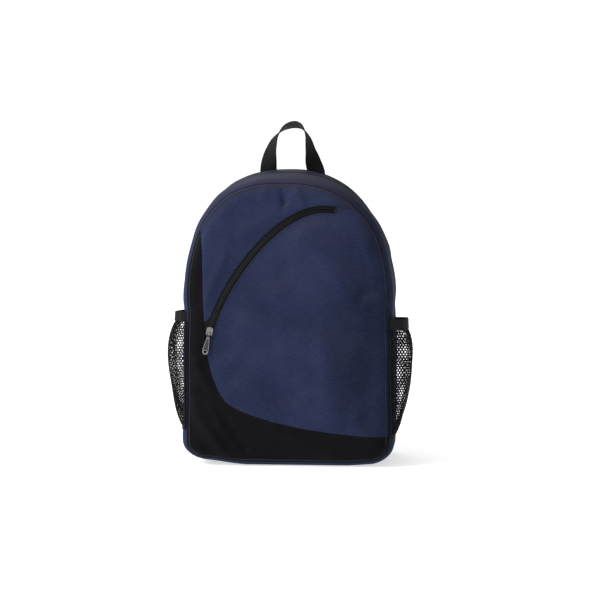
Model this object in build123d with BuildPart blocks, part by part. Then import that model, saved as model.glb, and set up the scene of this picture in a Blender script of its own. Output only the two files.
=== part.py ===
"""School backpack: arched two-zip day bag with side mesh pockets, haul loop and padded straps.

Frame: +Z up, +X to the right of someone facing the front panel, which looks along -Y.
The origin is the bottom centre of the whole bag. Every length is in millimetres.
"""
from build123d import *
from math import cos, radians, sin, sqrt
import os

# ---- shell: a flat-bottomed box with an arched top --------------------------------------
arch_radius = 152.0          # outside of the arched top
arch_centre_z = 263.0        # height of the arch centre above the floor
arch_overrun = 15.5          # degrees the arch runs on below its centre, to the straight sides
waist_round = 50.0           # hollow round where the arch turns into the straight side
corner_round = 30.0          # bottom corners
depth = 145.0                # front skin to back skin
skin = 1.4                   # coated cloth with its lining
front_round = 8.0            # edge between front panel and gusset
back_round = 10.0            # edge between gusset and back panel
front_seam_inset = 7.5       # front seam, measured in from the outside of the shell
rear_seam_from_back = 11.0   # rear seam, measured forwards from the back skin
strap_stand = 46.0           # shoulder straps behind the back skin

# ---- zips ----------------------------------------------------------------------------------
tape_thickness = 0.8
tape_width = 13.0            # one half of the zip, from its middle to its edge
coil_half_width = 3.0
coil_thickness = 2.2
coil_gap = 1.6               # between the two rows, where the slider's neck runs
slit_half = 5.5              # half the slot in the cloth that shows the zip
stop_length = 3.0
stop_sweep = 2.0             # degrees taken up by each bar across the front zip's end
slit_past_stop = 1.0         # degrees of slot past the upper bar
main_zip_from_front = 92.0   # main zip line, measured back from the front skin
main_park_angle = 11.5       # degrees below the arch centre where the main slider is parked
hinge_z = 223.0              # zip ends: the front half of the bag folds forward from here
flap_zip_z = 251.0           # the front row of the main zip is free to fold above this height
end_zip_z = 235.0            # and stays with the bag below this one
zip_foot_z = 217.0           # lower ends of the main zip
front_zip_radius = 222.0
front_zip_centre = (106.9, 149.0)      # x, z
front_zip_start = 168.1      # degrees round that centre: lower end, where the slider is parked
front_zip_stop = 100.0       # upper end
front_zip_tail = 3.0         # degrees of zip past each end

# ---- front panels and pocket ---------------------------------------------------------------
flex_z = 150.0               # cloth below this height stays with the base when the front folds
wedge_tip = (-123.5, 340.0)            # x, z of the black panel's points
wedge_foot = (-118.5, 208.9)
swoosh_fall = (-114.5, 158.5)
swoosh_low_left = (-102.9, 118.1)
swoosh_bend = (-83.0, 91.5)
swoosh_turn = (-56.1, 76.1)
swoosh_sweep = (54.0, 50.9)
swoosh_right = (156.0, 43.2)
lining_thickness = 0.8
lining_inset = 9.5
front_pocket_depth = 14.0
binding_width = 9.0
binding_thickness = 0.8
binding_gap = 1.0            # from the rounded front edge to the binding

# ---- back ----------------------------------------------------------------------------------
foam_thickness = 8.0
foam_inset = 14.0

# ---- side pockets --------------------------------------------------------------------------
pocket_wall = 1.2
pocket_foot = {"left": 53.0, "right": 42.0}
pocket_front_gap = 9.0       # from the front skin to the pocket
pocket_back_gap = 12.0       # from the back skin to the pocket
pocket_mouth_out = {"left": 16.0, "right": 21.0}       # how far the elastic stands off
pocket_bulge = {"left": 28.03, "right": 27.5}          # and the mesh at its fullest
pocket_corner = 11.0
pocket_top = {"left": 222.0, "right": 213.5}
elastic_height = {"left": 14.0, "right": 16.0}
elastic_wall = 1.8
fullest_share = 0.55         # of the pocket's height, where the mesh is fullest

# ---- haul loop -----------------------------------------------------------------------------
webbing_width = 25.0
webbing_thickness = 1.8
loop_half_span = 47.0        # outside of the two legs
loop_apex_z = 487.0
loop_crown = 9.0             # how deep the folded crown looks from the front
loop_base_z = 407.0
loop_shoulder = 8.0          # the outer edge starts to bend this far below the inner one
loop_clearance = 0.4         # from the feet of the legs to the arch, so that the loop can fold

# ---- shoulder straps -----------------------------------------------------------------------
strap_width = 62.0
strap_thickness = 10.0
strap_length = 236.0
strap_top_z = 376.0
strap_top_x = 42.0
strap_splay = 13.0           # degrees the straps spread towards the floor
strap_root = 1.0             # straps start this far outside the yoke
yoke_height = 26.0
yoke_thickness = 3.0
yoke_margin = 4.0            # yoke past each strap's edge
yoke_corner = 6.0
lower_webbing_length = 86.0
lock_width = 34.0
lock_height = 24.0
lock_thickness = 5.0
lock_bar = 4.0
lock_gap = 8.0               # from the end of the padded strap to the lock
anchor_size = 44.0
anchor_margin = 2.0          # anchor past each edge of the webbing

# ---- sliders and pulls ---------------------------------------------------------------------
slider_length = 12.0
slider_width = 9.0
plate_thickness = 1.2
slider_clearance = 0.3
slider_cheek = 0.8
neck_width = 1.0
crown_width = 2.2
crown_length = 8.0
crown_bar = 1.1
crown_slot = 1.7
pull_length = 34.0
pull_width = 8.0
pull_thickness = 1.3
pull_hole = 4.0              # hole near the end of the tab
eye_past_crown = 1.5         # length of the pull's open eye past half the crown
eye_overlap = 0.5            # how far the eye's sides run on at each end
eye_side_gap = 0.4
eye_side = 1.1

# ---- places that follow from the sizes -----------------------------------------------------
coil_front = coil_thickness - skin           # how far the rows stand proud of the cloth
plate_floor = coil_front + slider_clearance  # underside of the slider's top plate
crown_foot = plate_floor + plate_thickness   # top of that plate
pull_pivot = crown_foot + crown_slot / 2     # height of the pull's pivot above the cloth
slider_stand = crown_foot + crown_slot + crown_bar
whole_depth = slider_stand + depth + strap_stand
front_y = slider_stand - whole_depth / 2
back_y = front_y + depth
main_zip_y = front_y + main_zip_from_front
rear_seam_y = back_y - rear_seam_from_back
arch_top_z = arch_centre_z + arch_radius
side_x = arch_radius * cos(radians(arch_overrun))
reach = arch_radius + 60.0   # half size of the working blocks, clear of every sub-part
cut_margin = 1.0             # how far a cutting form runs past what it cuts


def facing_front(y):
    """Plane at depth y whose x is the bag's x, whose y is up, and which faces the front."""
    return Plane(origin=(0, y, 0), x_dir=(1, 0, 0), z_dir=(0, -1, 0))


def arch(inset=0.0):
    """Outline of the bag from the front, moved in by the inset, as a face in the sketch."""
    radius = arch_radius - inset
    side = side_x - inset
    join_z = arch_centre_z - sqrt(radius**2 - side**2)
    with BuildLine() as outline:
        ThreePointArc((-side, join_z), (0, arch_centre_z + radius), (side, join_z))
        Polyline((side, join_z), (side, inset), (-side, inset), (-side, join_z))
    make_face(outline.edges())
    fillet(vertices().sort_by(Axis.Y)[0:2], corner_round - inset)
    waist = vertices().filter_by_position(Axis.Y, join_z - cut_margin, join_z + cut_margin)
    fillet(waist, waist_round + inset)


def bag_form(inset):
    """Solid of the whole bag with its front and back edges rounded, all moved in."""
    with BuildPart() as form:
        with BuildSketch(facing_front(back_y - inset)):
            arch(inset)
        extrude(amount=depth - 2 * inset)
        ends = form.faces().filter_by(Axis.Y).sort_by(Axis.Y)
        front_edges = ends[0].edges()
        back_edges = ends[-1].edges()
        fillet(front_edges, front_round - inset)
        fillet(back_edges, back_round - inset)
    return form.part


def block(y_from, y_to, z_from, z_to):
    """Working block across the bag, for cutting sub-parts out of larger forms."""
    with BuildPart() as working:
        with BuildSketch(facing_front(y_to)):
            with Locations((0, (z_from + z_to) / 2)):
                Rectangle(2 * reach, z_to - z_from)
        extrude(amount=y_to - y_from)
    return working.part


def front_prism(z_from, z_to):
    """Working prism inside the front seam, between two heights."""
    with BuildPart() as working:
        with BuildSketch(facing_front(front_y + 2 * skin)):
            arch(front_seam_inset)
        extrude(amount=3 * skin)
        add(block(front_y - reach, front_y + reach, z_from, z_to), mode=Mode.INTERSECT)
    return working.part


def band(outer, inner, y_from, y_to, z_from, z_to):
    """Strip that follows the bag's outline between two insets, two depths and two heights."""
    with BuildPart() as strip:
        with BuildSketch(facing_front(y_to)) as hoop:
            arch(outer)
            with BuildSketch(mode=Mode.PRIVATE) as hole:
                arch(inner)
            add(hole.sketch, mode=Mode.SUBTRACT)
        extrude(amount=y_to - y_from)
        add(block(y_from - cut_margin, y_to + cut_margin, z_from, z_to), mode=Mode.INTERSECT)
    return strip.part


def ring_sector(radius_in, radius_out, start, stop):
    """Piece of a ring round the front zip's centre, between two angles, in the sketch."""
    def at(radius, angle):
        return (front_zip_centre[0] + radius * cos(radians(angle)),
                front_zip_centre[1] + radius * sin(radians(angle)))
    middle = (start + stop) / 2
    with BuildLine() as outline:
        ThreePointArc(at(radius_out, start), at(radius_out, middle), at(radius_out, stop))
        Line(at(radius_out, stop), at(radius_in, stop))
        ThreePointArc(at(radius_in, stop), at(radius_in, middle), at(radius_in, start))
        Line(at(radius_in, start), at(radius_out, start))
    make_face(outline.edges())


def black_field():
    """Everything left of the wedge line and below the swooping seam, in the sketch."""
    with BuildLine() as outline:
        Line(wedge_tip, wedge_foot)
        ThreePointArc(wedge_foot, swoosh_fall, swoosh_low_left)
        ThreePointArc(swoosh_low_left, swoosh_bend, swoosh_turn)
        ThreePointArc(swoosh_turn, swoosh_sweep, swoosh_right)
        Polyline(swoosh_right, (reach, -reach), (-reach, -reach), (-reach, wedge_tip[1]),
                 wedge_tip)
    make_face(outline.edges())


def black_field_cut():
    """Take the black piece's field away from the sketch."""
    with BuildSketch(mode=Mode.PRIVATE) as field:
        black_field()
    add(field.sketch, mode=Mode.SUBTRACT)


def zip_slit():
    """The slot in the front cloth that shows the front zip, in the sketch."""
    ring_sector(front_zip_radius - slit_half, front_zip_radius + slit_half,
                front_zip_stop - slit_past_stop, front_zip_start + front_zip_tail)


bag_outside = bag_form(0.0)
bag_inside = bag_form(skin)

with BuildPart() as shell:
    add(bag_outside)
    add(bag_inside, mode=Mode.SUBTRACT)

parts = []


def keep(builder, label):
    """Name a finished sub-part and put it on the list that is written out."""
    builder.part.label = label
    parts.append(builder.part)


# ---- gussets: the cloth strip round the sides, top and bottom ----------------------------
with BuildPart() as front_gusset:
    add(shell.part)
    add(block(front_y, main_zip_y - slit_half, hinge_z, arch_top_z), mode=Mode.INTERSECT)
    add(front_prism(0, arch_top_z), mode=Mode.SUBTRACT)
keep(front_gusset, "front_gusset")

with BuildPart() as lower_gusset:
    add(shell.part)
    add(block(front_y, rear_seam_y, 0, hinge_z), mode=Mode.INTERSECT)
    add(front_prism(0, arch_top_z), mode=Mode.SUBTRACT)
    add(block(main_zip_y - slit_half, main_zip_y + slit_half, zip_foot_z + stop_length,
              arch_top_z), mode=Mode.SUBTRACT)
keep(lower_gusset, "lower_gusset")

with BuildPart() as rear_gusset:
    add(shell.part)
    add(block(main_zip_y + slit_half, rear_seam_y, hinge_z, arch_top_z), mode=Mode.INTERSECT)
keep(rear_gusset, "rear_gusset")


# ---- front panels --------------------------------------------------------------------------
def front_panel(label, z_from, z_to, piece):
    """Cloth of the front between two heights: the upper, the main or the black piece."""
    with BuildPart() as panel:
        add(shell.part)
        add(front_prism(z_from, z_to), mode=Mode.INTERSECT)
        with BuildSketch(facing_front(front_y + 2 * skin)):
            if piece == "black":
                black_field()
            else:
                Rectangle(4 * reach, 4 * reach)
                black_field_cut()
                with Locations(front_zip_centre):
                    side = Mode.SUBTRACT if piece == "upper" else Mode.INTERSECT
                    Circle(front_zip_radius, mode=side)
        extrude(amount=3 * skin, mode=Mode.INTERSECT)
        with BuildSketch(facing_front(front_y + 2 * skin)):
            zip_slit()
        extrude(amount=3 * skin, mode=Mode.SUBTRACT)
    keep(panel, label)


front_panel("front_panel_upper", flex_z, arch_top_z, "upper")
front_panel("front_panel_main", flex_z, arch_top_z, "main")
front_panel("front_panel_main_base", 0, flex_z, "main")
front_panel("front_panel_black", flex_z, arch_top_z, "black")
front_panel("front_panel_black_base", 0, flex_z, "black")


# ---- front pocket: a shallow tray of lining behind the front panel -----------------------
def pocket_lining(label, z_from, z_to):
    """Lining tray between two heights, sewn to the back of the front panel."""
    tray_front = front_y + skin
    tray_back = tray_front + front_pocket_depth
    with BuildPart() as tray:
        with BuildSketch(facing_front(tray_back)):
            arch(lining_inset)
        extrude(amount=front_pocket_depth)
        with BuildSketch(facing_front(tray_back - lining_thickness)):
            arch(lining_inset + lining_thickness)
        extrude(amount=front_pocket_depth, mode=Mode.SUBTRACT)
        add(block(tray_front, tray_back, z_from, z_to), mode=Mode.INTERSECT)
    keep(tray, label)


pocket_lining("front_pocket_lining", flex_z, arch_top_z)
pocket_lining("front_pocket_lining_base", 0, flex_z)

# ---- front zip -----------------------------------------------------------------------------
zip_low = front_zip_start + front_zip_tail
zip_high = front_zip_stop - front_zip_tail
with BuildPart() as front_zip_tape:
    with BuildSketch(facing_front(front_y + skin + tape_thickness)):
        ring_sector(front_zip_radius + coil_gap / 2, front_zip_radius + tape_width,
                    zip_high, zip_low)
        ring_sector(front_zip_radius - tape_width, front_zip_radius - coil_gap / 2,
                    zip_high, zip_low)
        with BuildSketch(mode=Mode.PRIVATE) as pocket_room:
            arch(lining_inset + lining_thickness)
        add(pocket_room.sketch, mode=Mode.INTERSECT)
    extrude(amount=tape_thickness)
keep(front_zip_tape, "front_zip_tape")

with BuildPart() as front_zip_coil:
    with BuildSketch(facing_front(front_y + skin)):
        ring_sector(front_zip_radius + coil_gap / 2, front_zip_radius + coil_half_width,
                    front_zip_stop, front_zip_start)
        ring_sector(front_zip_radius - coil_half_width, front_zip_radius - coil_gap / 2,
                    front_zip_stop, front_zip_start)
    extrude(amount=coil_thickness)
keep(front_zip_coil, "front_zip_coil")

with BuildPart() as front_zip_stops:
    with BuildSketch(facing_front(front_y + skin)):
        ring_sector(front_zip_radius - coil_half_width, front_zip_radius + coil_half_width,
                    front_zip_stop - stop_sweep / 2, front_zip_stop)
        ring_sector(front_zip_radius - coil_half_width, front_zip_radius + coil_half_width,
                    front_zip_start + stop_sweep, front_zip_start + 1.5 * stop_sweep)
    extrude(amount=coil_thickness)
keep(front_zip_stops, "front_zip_stops")


# ---- main zip ------------------------------------------------------------------------------
def main_zip_half(label, side, piece, z_from, z_to):
    """Tape or coil of one side of the main zip; side is -1 in front of the middle, 1 behind."""
    near = main_zip_y + side * coil_gap / 2
    if piece == "tape":
        width, outer, inner = tape_width, skin, skin + tape_thickness
    else:
        width, outer, inner = coil_half_width, skin - coil_thickness, skin
    far = main_zip_y + side * width
    with BuildPart() as half:
        add(band(outer, inner, min(near, far), max(near, far), z_from, z_to))
    keep(half, label)


coil_foot_z = zip_foot_z + stop_length
coil_top_z = arch_top_z + coil_thickness
main_zip_half("main_zip_tape_front", -1, "tape", flap_zip_z, arch_top_z)
main_zip_half("main_zip_coil_front", -1, "coil", flap_zip_z, coil_top_z)
main_zip_half("main_zip_tape_rear", 1, "tape", zip_foot_z, arch_top_z)
main_zip_half("main_zip_coil_rear", 1, "coil", coil_foot_z, coil_top_z)
main_zip_half("main_zip_front_end_tape", -1, "tape", zip_foot_z, end_zip_z)
main_zip_half("main_zip_front_end_coil", -1, "coil", coil_foot_z, end_zip_z)

# ---- seam bindings inside ------------------------------------------------------------------
with BuildPart() as rear_seam_binding:
    add(band(skin, skin + binding_thickness, rear_seam_y - binding_width, rear_seam_y,
             0, arch_top_z))
keep(rear_seam_binding, "rear_seam_binding")

binding_y = front_y + front_round + binding_gap
with BuildPart() as front_seam_binding:
    add(band(skin, skin + binding_thickness, binding_y, binding_y + binding_width,
             hinge_z, arch_top_z))
keep(front_seam_binding, "front_seam_binding")

# ---- back panel: cover, foam and lining ----------------------------------------------------
with BuildPart() as back_panel:
    add(shell.part)
    add(block(rear_seam_y, back_y, 0, arch_top_z), mode=Mode.INTERSECT)
keep(back_panel, "back_panel")

with BuildPart() as back_foam:
    with BuildSketch(facing_front(back_y - skin)):
        arch(foam_inset)
    extrude(amount=foam_thickness)
keep(back_foam, "back_foam")

lining_back_y = back_y - skin - foam_thickness
with BuildPart() as back_lining:
    with BuildSketch(facing_front(lining_back_y)):
        arch(skin + binding_thickness)
    extrude(amount=lining_thickness)
keep(back_lining, "back_lining")

# ---- side pockets --------------------------------------------------------------------------
pocket_front_y = front_y + pocket_front_gap
pocket_back_y = back_y - pocket_back_gap


def pocket_form(inset, foot_z, top_z, hand):
    """Solid under a pocket's mesh: flat against the side, fullest halfway up."""
    side = -1 if hand == "left" else 1
    mouth_x = side_x + pocket_mouth_out[hand] - inset
    bulge_x = side_x + pocket_bulge[hand] - inset
    with BuildPart() as form:
        with BuildSketch(facing_front(pocket_back_y - inset)):
            with BuildLine():
                Polyline((side * side_x, foot_z), (side * side_x, top_z),
                         (side * mouth_x, top_z))
                ThreePointArc((side * mouth_x, top_z),
                              (side * bulge_x, foot_z + fullest_share * (top_z - foot_z)),
                              (side * side_x, foot_z))
            make_face()
        extrude(amount=pocket_back_y - pocket_front_y - 2 * inset)
        rims = form.edges().filter_by(GeomType.CIRCLE)
        fillet(rims, pocket_corner - inset)
    return form.part


for hand in ("left", "right"):
    mesh_foot = pocket_foot[hand]
    mesh_top = pocket_top[hand] - elastic_height[hand]
    with BuildPart() as mesh_pocket:
        add(pocket_form(0.0, mesh_foot, mesh_top, hand))
        add(pocket_form(pocket_wall, mesh_foot + 2 * pocket_wall, mesh_top, hand),
            mode=Mode.SUBTRACT)
    keep(mesh_pocket, f"mesh_pocket_{hand}")

    band_side = -1 if hand == "left" else 1
    mouth_out = pocket_mouth_out[hand]
    band_centre = (band_side * side_x, (pocket_front_y + pocket_back_y) / 2)
    band_size = (2 * mouth_out, pocket_back_y - pocket_front_y)
    with BuildPart() as pocket_elastic:
        with BuildSketch(Plane.XY.offset(mesh_top)):
            with Locations(band_centre):
                RectangleRounded(*band_size, pocket_corner)
                RectangleRounded(band_size[0] - 2 * elastic_wall, band_size[1] - 2 * elastic_wall,
                                 pocket_corner - elastic_wall, mode=Mode.SUBTRACT)
            with Locations((band_centre[0] - band_side * mouth_out / 2, band_centre[1])):
                Rectangle(mouth_out, band_size[1], mode=Mode.SUBTRACT)
        extrude(amount=elastic_height[hand])
        add(bag_outside, mode=Mode.SUBTRACT)
    keep(pocket_elastic, f"pocket_elastic_{hand}")

# ---- haul loop: one length of webbing, both ends sewn into the rear seam -----------------
inner_half = loop_half_span - webbing_width
inner_bend_z = loop_apex_z - loop_half_span
outer_bend_z = inner_bend_z - loop_shoulder
with BuildPart() as haul_loop:
    with BuildSketch(facing_front(rear_seam_y)):
        with BuildLine():
            Line((-loop_half_span, loop_base_z), (-loop_half_span, outer_bend_z))
            ThreePointArc((-loop_half_span, outer_bend_z), (0, loop_apex_z),
                          (loop_half_span, outer_bend_z))
            Polyline((loop_half_span, outer_bend_z), (loop_half_span, loop_base_z),
                     (inner_half, loop_base_z), (inner_half, inner_bend_z))
            ThreePointArc((inner_half, inner_bend_z), (0, loop_apex_z - loop_crown),
                          (-inner_half, inner_bend_z))
            Polyline((-inner_half, inner_bend_z), (-inner_half, loop_base_z),
                     (-loop_half_span, loop_base_z))
        make_face()
    extrude(amount=webbing_thickness)
    with BuildSketch(facing_front(rear_seam_y)):
        arch(-loop_clearance)
    extrude(amount=webbing_thickness, mode=Mode.SUBTRACT)
keep(haul_loop, "haul_loop")

# ---- shoulder straps -----------------------------------------------------------------------
with BuildPart() as strap_yoke:
    with BuildSketch(facing_front(back_y + yoke_thickness)):
        with Locations((0, strap_top_z)):
            RectangleRounded(2 * (strap_top_x + yoke_margin) + strap_width, yoke_height,
                             yoke_corner)
    extrude(amount=yoke_thickness)
keep(strap_yoke, "strap_yoke")

low = yoke_thickness + strap_root
full = strap_stand
splay = radians(strap_splay)
for hand in ("left", "right"):
    side = -1 if hand == "left" else 1
    down = Vector(side * sin(splay), 0, -cos(splay))
    top = Vector(side * strap_top_x, back_y, strap_top_z)
    # in this plane x runs down the strap and y runs away from the back
    profile = Plane(origin=top, x_dir=down, z_dir=down.cross(Vector(0, 1, 0)))
    with BuildPart() as shoulder_strap:
        with BuildSketch(profile):
            with BuildLine():
                ThreePointArc((0, low + strap_thickness), (strap_length / 2, full),
                              (strap_length, low + strap_thickness))
                Line((strap_length, low + strap_thickness), (strap_length, low))
                ThreePointArc((strap_length, low), (strap_length / 2, full - strap_thickness),
                              (0, low))
                Line((0, low), (0, low + strap_thickness))
            make_face()
        extrude(amount=strap_width / 2, both=True)
    keep(shoulder_strap, f"shoulder_strap_{hand}")

    lock_start = strap_length + lock_gap
    lock_floor = low + webbing_thickness
    with BuildPart() as ladder_lock:
        with BuildSketch(profile):
            with Locations((lock_start + lock_height / 2, lock_floor + lock_thickness / 2)):
                Rectangle(lock_height, lock_thickness)
        extrude(amount=lock_width / 2, both=True)
        slot = (lock_height - 3 * lock_bar) / 2
        with BuildSketch(profile):
            for place in (lock_bar + slot / 2, 2 * lock_bar + 1.5 * slot):
                with Locations((lock_start + place, lock_floor + lock_thickness / 2)):
                    Rectangle(slot, 2 * lock_thickness)
        extrude(amount=lock_width / 2 - lock_bar, both=True, mode=Mode.SUBTRACT)
    keep(ladder_lock, f"ladder_lock_{hand}")

    with BuildPart() as strap_webbing:
        with BuildSketch(profile):
            with Locations((strap_length + lower_webbing_length / 2, low + webbing_thickness / 2)):
                Rectangle(lower_webbing_length, webbing_thickness)
        extrude(amount=webbing_width / 2, both=True)
    keep(strap_webbing, f"strap_webbing_{hand}")

    anchor_start = strap_length + lower_webbing_length - anchor_size / 2
    with BuildPart() as strap_anchor:
        with BuildSketch(profile):
            with Locations((anchor_start + anchor_size / 2, low / 2)):
                Rectangle(anchor_size, low)
        extrude(amount=webbing_width / 2 + anchor_margin, both=True)
    keep(strap_anchor, f"strap_anchor_{hand}")


# ---- sliders and pulls ---------------------------------------------------------------------
def zip_slider(seat, label):
    """Slider on a seat plane: x across the zip, y towards its travel, z out of the cloth."""
    under = -skin - tape_thickness - slider_clearance
    cheek_x = (slider_width - slider_cheek) / 2
    with BuildPart() as slider:
        with BuildSketch(seat.offset(plate_floor)):
            RectangleRounded(slider_width, slider_length, slider_width / 3)
        extrude(amount=plate_thickness)
        with BuildSketch(seat.offset(under - plate_thickness)):
            RectangleRounded(slider_width, slider_length, slider_width / 3)
        extrude(amount=plate_thickness)
        with BuildSketch(seat.offset(under)):
            with Locations((0, slider_length / 4)):
                Rectangle(neck_width, slider_length / 4)
        extrude(amount=plate_floor - under)
        with BuildSketch(seat.offset(slider_clearance - skin)):
            with Locations((-cheek_x, 0), (cheek_x, 0)):
                Rectangle(slider_cheek, slider_length / 2)
        extrude(amount=plate_floor + skin - slider_clearance)
        with BuildSketch(seat.offset(crown_foot)):
            Rectangle(crown_width, crown_length)
        extrude(amount=crown_slot + crown_bar)
        with BuildSketch(seat.offset(crown_foot)):
            Rectangle(2 * crown_width, crown_length - 2 * crown_bar)
        extrude(amount=crown_slot, mode=Mode.SUBTRACT)
    keep(slider, label)


def zip_pull(pivot, label):
    """Pull tab in a plane through its pivot, hanging down the plane's y from the crown."""
    eye_half = crown_width / 2 + eye_side_gap
    eye_length = crown_length / 2 + eye_past_crown
    eye_x = eye_half + eye_side / 2
    eye_y = -eye_length / 2 - eye_overlap
    bar_plane = Plane(origin=pivot.origin - pivot.x_dir * eye_half,
                      x_dir=pivot.y_dir, z_dir=pivot.x_dir)
    with BuildPart() as pull:
        with BuildSketch(pivot.offset(-pull_thickness / 2)):
            with Locations((0, -eye_length - (pull_length - eye_length) / 2)):
                RectangleRounded(pull_width, pull_length - eye_length, pull_width / 2.2)
            with Locations((0, -pull_length + pull_width / 2)):
                Circle(pull_hole / 2, mode=Mode.SUBTRACT)
            with Locations((-eye_x, eye_y), (eye_x, eye_y)):
                Rectangle(eye_side, eye_length + 2 * eye_overlap)
        extrude(amount=pull_thickness)
        with BuildSketch(bar_plane):
            Circle(pull_thickness / 2)
        extrude(amount=2 * eye_half)
    keep(pull, label)


def zip_seat(centre, radius, angle, y, faces_front):
    """Seat plane of a slider at an angle round a zip's centre (x, z)."""
    outward = Vector(cos(radians(angle)), 0, sin(radians(angle)))
    place = Vector(centre[0], y, centre[1]) + outward * radius
    if faces_front:
        return Plane(origin=place, x_dir=-outward, z_dir=(0, -1, 0))
    return Plane(origin=place, x_dir=(0, -1, 0), z_dir=outward)


front_seat = zip_seat(front_zip_centre, front_zip_radius, front_zip_start, front_y, True)
zip_slider(front_seat, "front_zip_slider")
zip_pull(front_seat.offset(pull_pivot), "front_zip_pull")

main_seat = zip_seat((0, arch_centre_z), arch_radius, 180 + main_park_angle, main_zip_y, False)
zip_slider(main_seat, "main_zip_slider")
main_pivot = main_seat.offset(pull_pivot).origin
zip_pull(Plane(origin=main_pivot, x_dir=(0, -1, 0), z_dir=(-1, 0, 0)), "main_zip_pull")

# ---- write one file for each sub-part ------------------------------------------------------
os.makedirs("parts", exist_ok=True)
for part in parts:
    export_step(part, f"parts/{part.label}.step")

whole = Compound(children=parts).bounding_box()
print("parts", len(parts))
print("low", whole.min, "high", whole.max)
print("front skin", front_y, "back skin", back_y, "main zip", main_zip_y)
print("front pull pivot", front_seat.offset(pull_pivot).origin, "across", front_seat.x_dir)
print("main pull pivot", main_pivot, "side", side_x)
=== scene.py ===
# %% [markdown]
# # A school backpack, surface by surface
# The frame gives the bag's size, its zips' places and the parts that move. This lesson sews the
# looks around it. Every cloth piece is a function of two parameters worked out with numpy, every
# finish is a small piece of shader arithmetic, and both are in metres.

# %% Load the frame
import bmesh
import bpy
import numpy as np
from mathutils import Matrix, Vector


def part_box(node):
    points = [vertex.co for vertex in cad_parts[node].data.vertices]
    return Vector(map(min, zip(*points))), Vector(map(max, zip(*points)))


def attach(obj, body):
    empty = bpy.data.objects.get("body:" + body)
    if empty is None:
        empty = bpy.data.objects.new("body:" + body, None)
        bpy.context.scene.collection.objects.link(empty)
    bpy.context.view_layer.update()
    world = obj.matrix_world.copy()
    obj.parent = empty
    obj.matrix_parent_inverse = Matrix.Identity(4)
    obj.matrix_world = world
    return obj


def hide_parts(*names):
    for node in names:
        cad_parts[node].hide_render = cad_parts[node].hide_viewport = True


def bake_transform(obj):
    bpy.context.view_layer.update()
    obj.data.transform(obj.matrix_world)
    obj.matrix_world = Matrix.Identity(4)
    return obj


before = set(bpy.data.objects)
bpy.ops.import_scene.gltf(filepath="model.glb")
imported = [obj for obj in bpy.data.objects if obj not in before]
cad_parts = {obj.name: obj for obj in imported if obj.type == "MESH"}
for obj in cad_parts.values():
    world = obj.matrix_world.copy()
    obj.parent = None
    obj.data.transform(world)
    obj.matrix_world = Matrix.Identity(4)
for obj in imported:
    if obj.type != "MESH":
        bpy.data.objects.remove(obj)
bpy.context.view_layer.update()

MM = 0.001

# %% [markdown]
# ## Five small helpers
# Distances along a line, directions of length one, soft steps, squared-off circles and pairs of
# coordinates are needed again and again, so they come first. All of them take whole arrays.


# %% Helpers for lines and curves
def walk(line):
    """Distance walked along a line of points, at each of its points."""
    return np.concatenate([[0], np.cumsum(np.linalg.norm(np.diff(line, axis=0), axis=1))])


def unit(vectors):
    """Vectors of length one."""
    return vectors / np.maximum(np.linalg.norm(vectors, axis=-1, keepdims=True), 1e-12)


def smooth_step(t):
    """Rises from 0 to 1 with level ends: 3t^2 - 2t^3."""
    t = np.clip(t, 0, 1)
    return t * t * (3 - 2 * t)


def squared(wave, power):
    """A sine or cosine whose size is raised to a power below 1, which squares up the circle that
    the two would draw and makes it a superellipse."""
    return np.sign(wave) * np.abs(wave) ** power


def pair(first, second):
    """Two coordinates side by side, stretched to the same shape: (..., 2)."""
    return np.stack(np.broadcast_arrays(first, second), -1)


print("a step's middle is", smooth_step(0.5))

# %% [markdown]
# ## The bag's own measures
# Each measure is read from the box of the frame's piece that has it, so the cloth always fits
# the frame. The outline is a flat floor, two upright sides and a round arch. The arch is a
# little wider than the sides, so a hollow waist joins them.

# %% Measures from the frame
back_low, back_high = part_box("back_panel")
ARCH_R = (back_high.x - back_low.x) / 2
ARCH_Z = back_high.z - ARCH_R
BACK_Y = back_high.y
FRONT_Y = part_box("front_panel_main")[0].y
REAR_SEAM_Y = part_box("rear_gusset")[1].y
ZIP_Y = (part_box("main_zip_coil_front")[1].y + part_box("main_zip_coil_rear")[0].y) / 2
HINGE_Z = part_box("front_gusset")[0].z
SIDE_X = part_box("front_panel_black_base")[1].x + 7.5 * MM
CORNER_R = 30 * MM
WAIST_R = 50 * MM
SLIT = 5.5 * MM              # half the slot that shows a zip
SEAM_IN = 7 * MM             # front seam, in from the outline
EDGE = 22 * MM               # how far in the rolled front edge starts
CLOTH = 1.2 * MM             # thickness of the coated cloth
FLAT_STEPS, ARCH_STEPS = 200, 900


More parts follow.
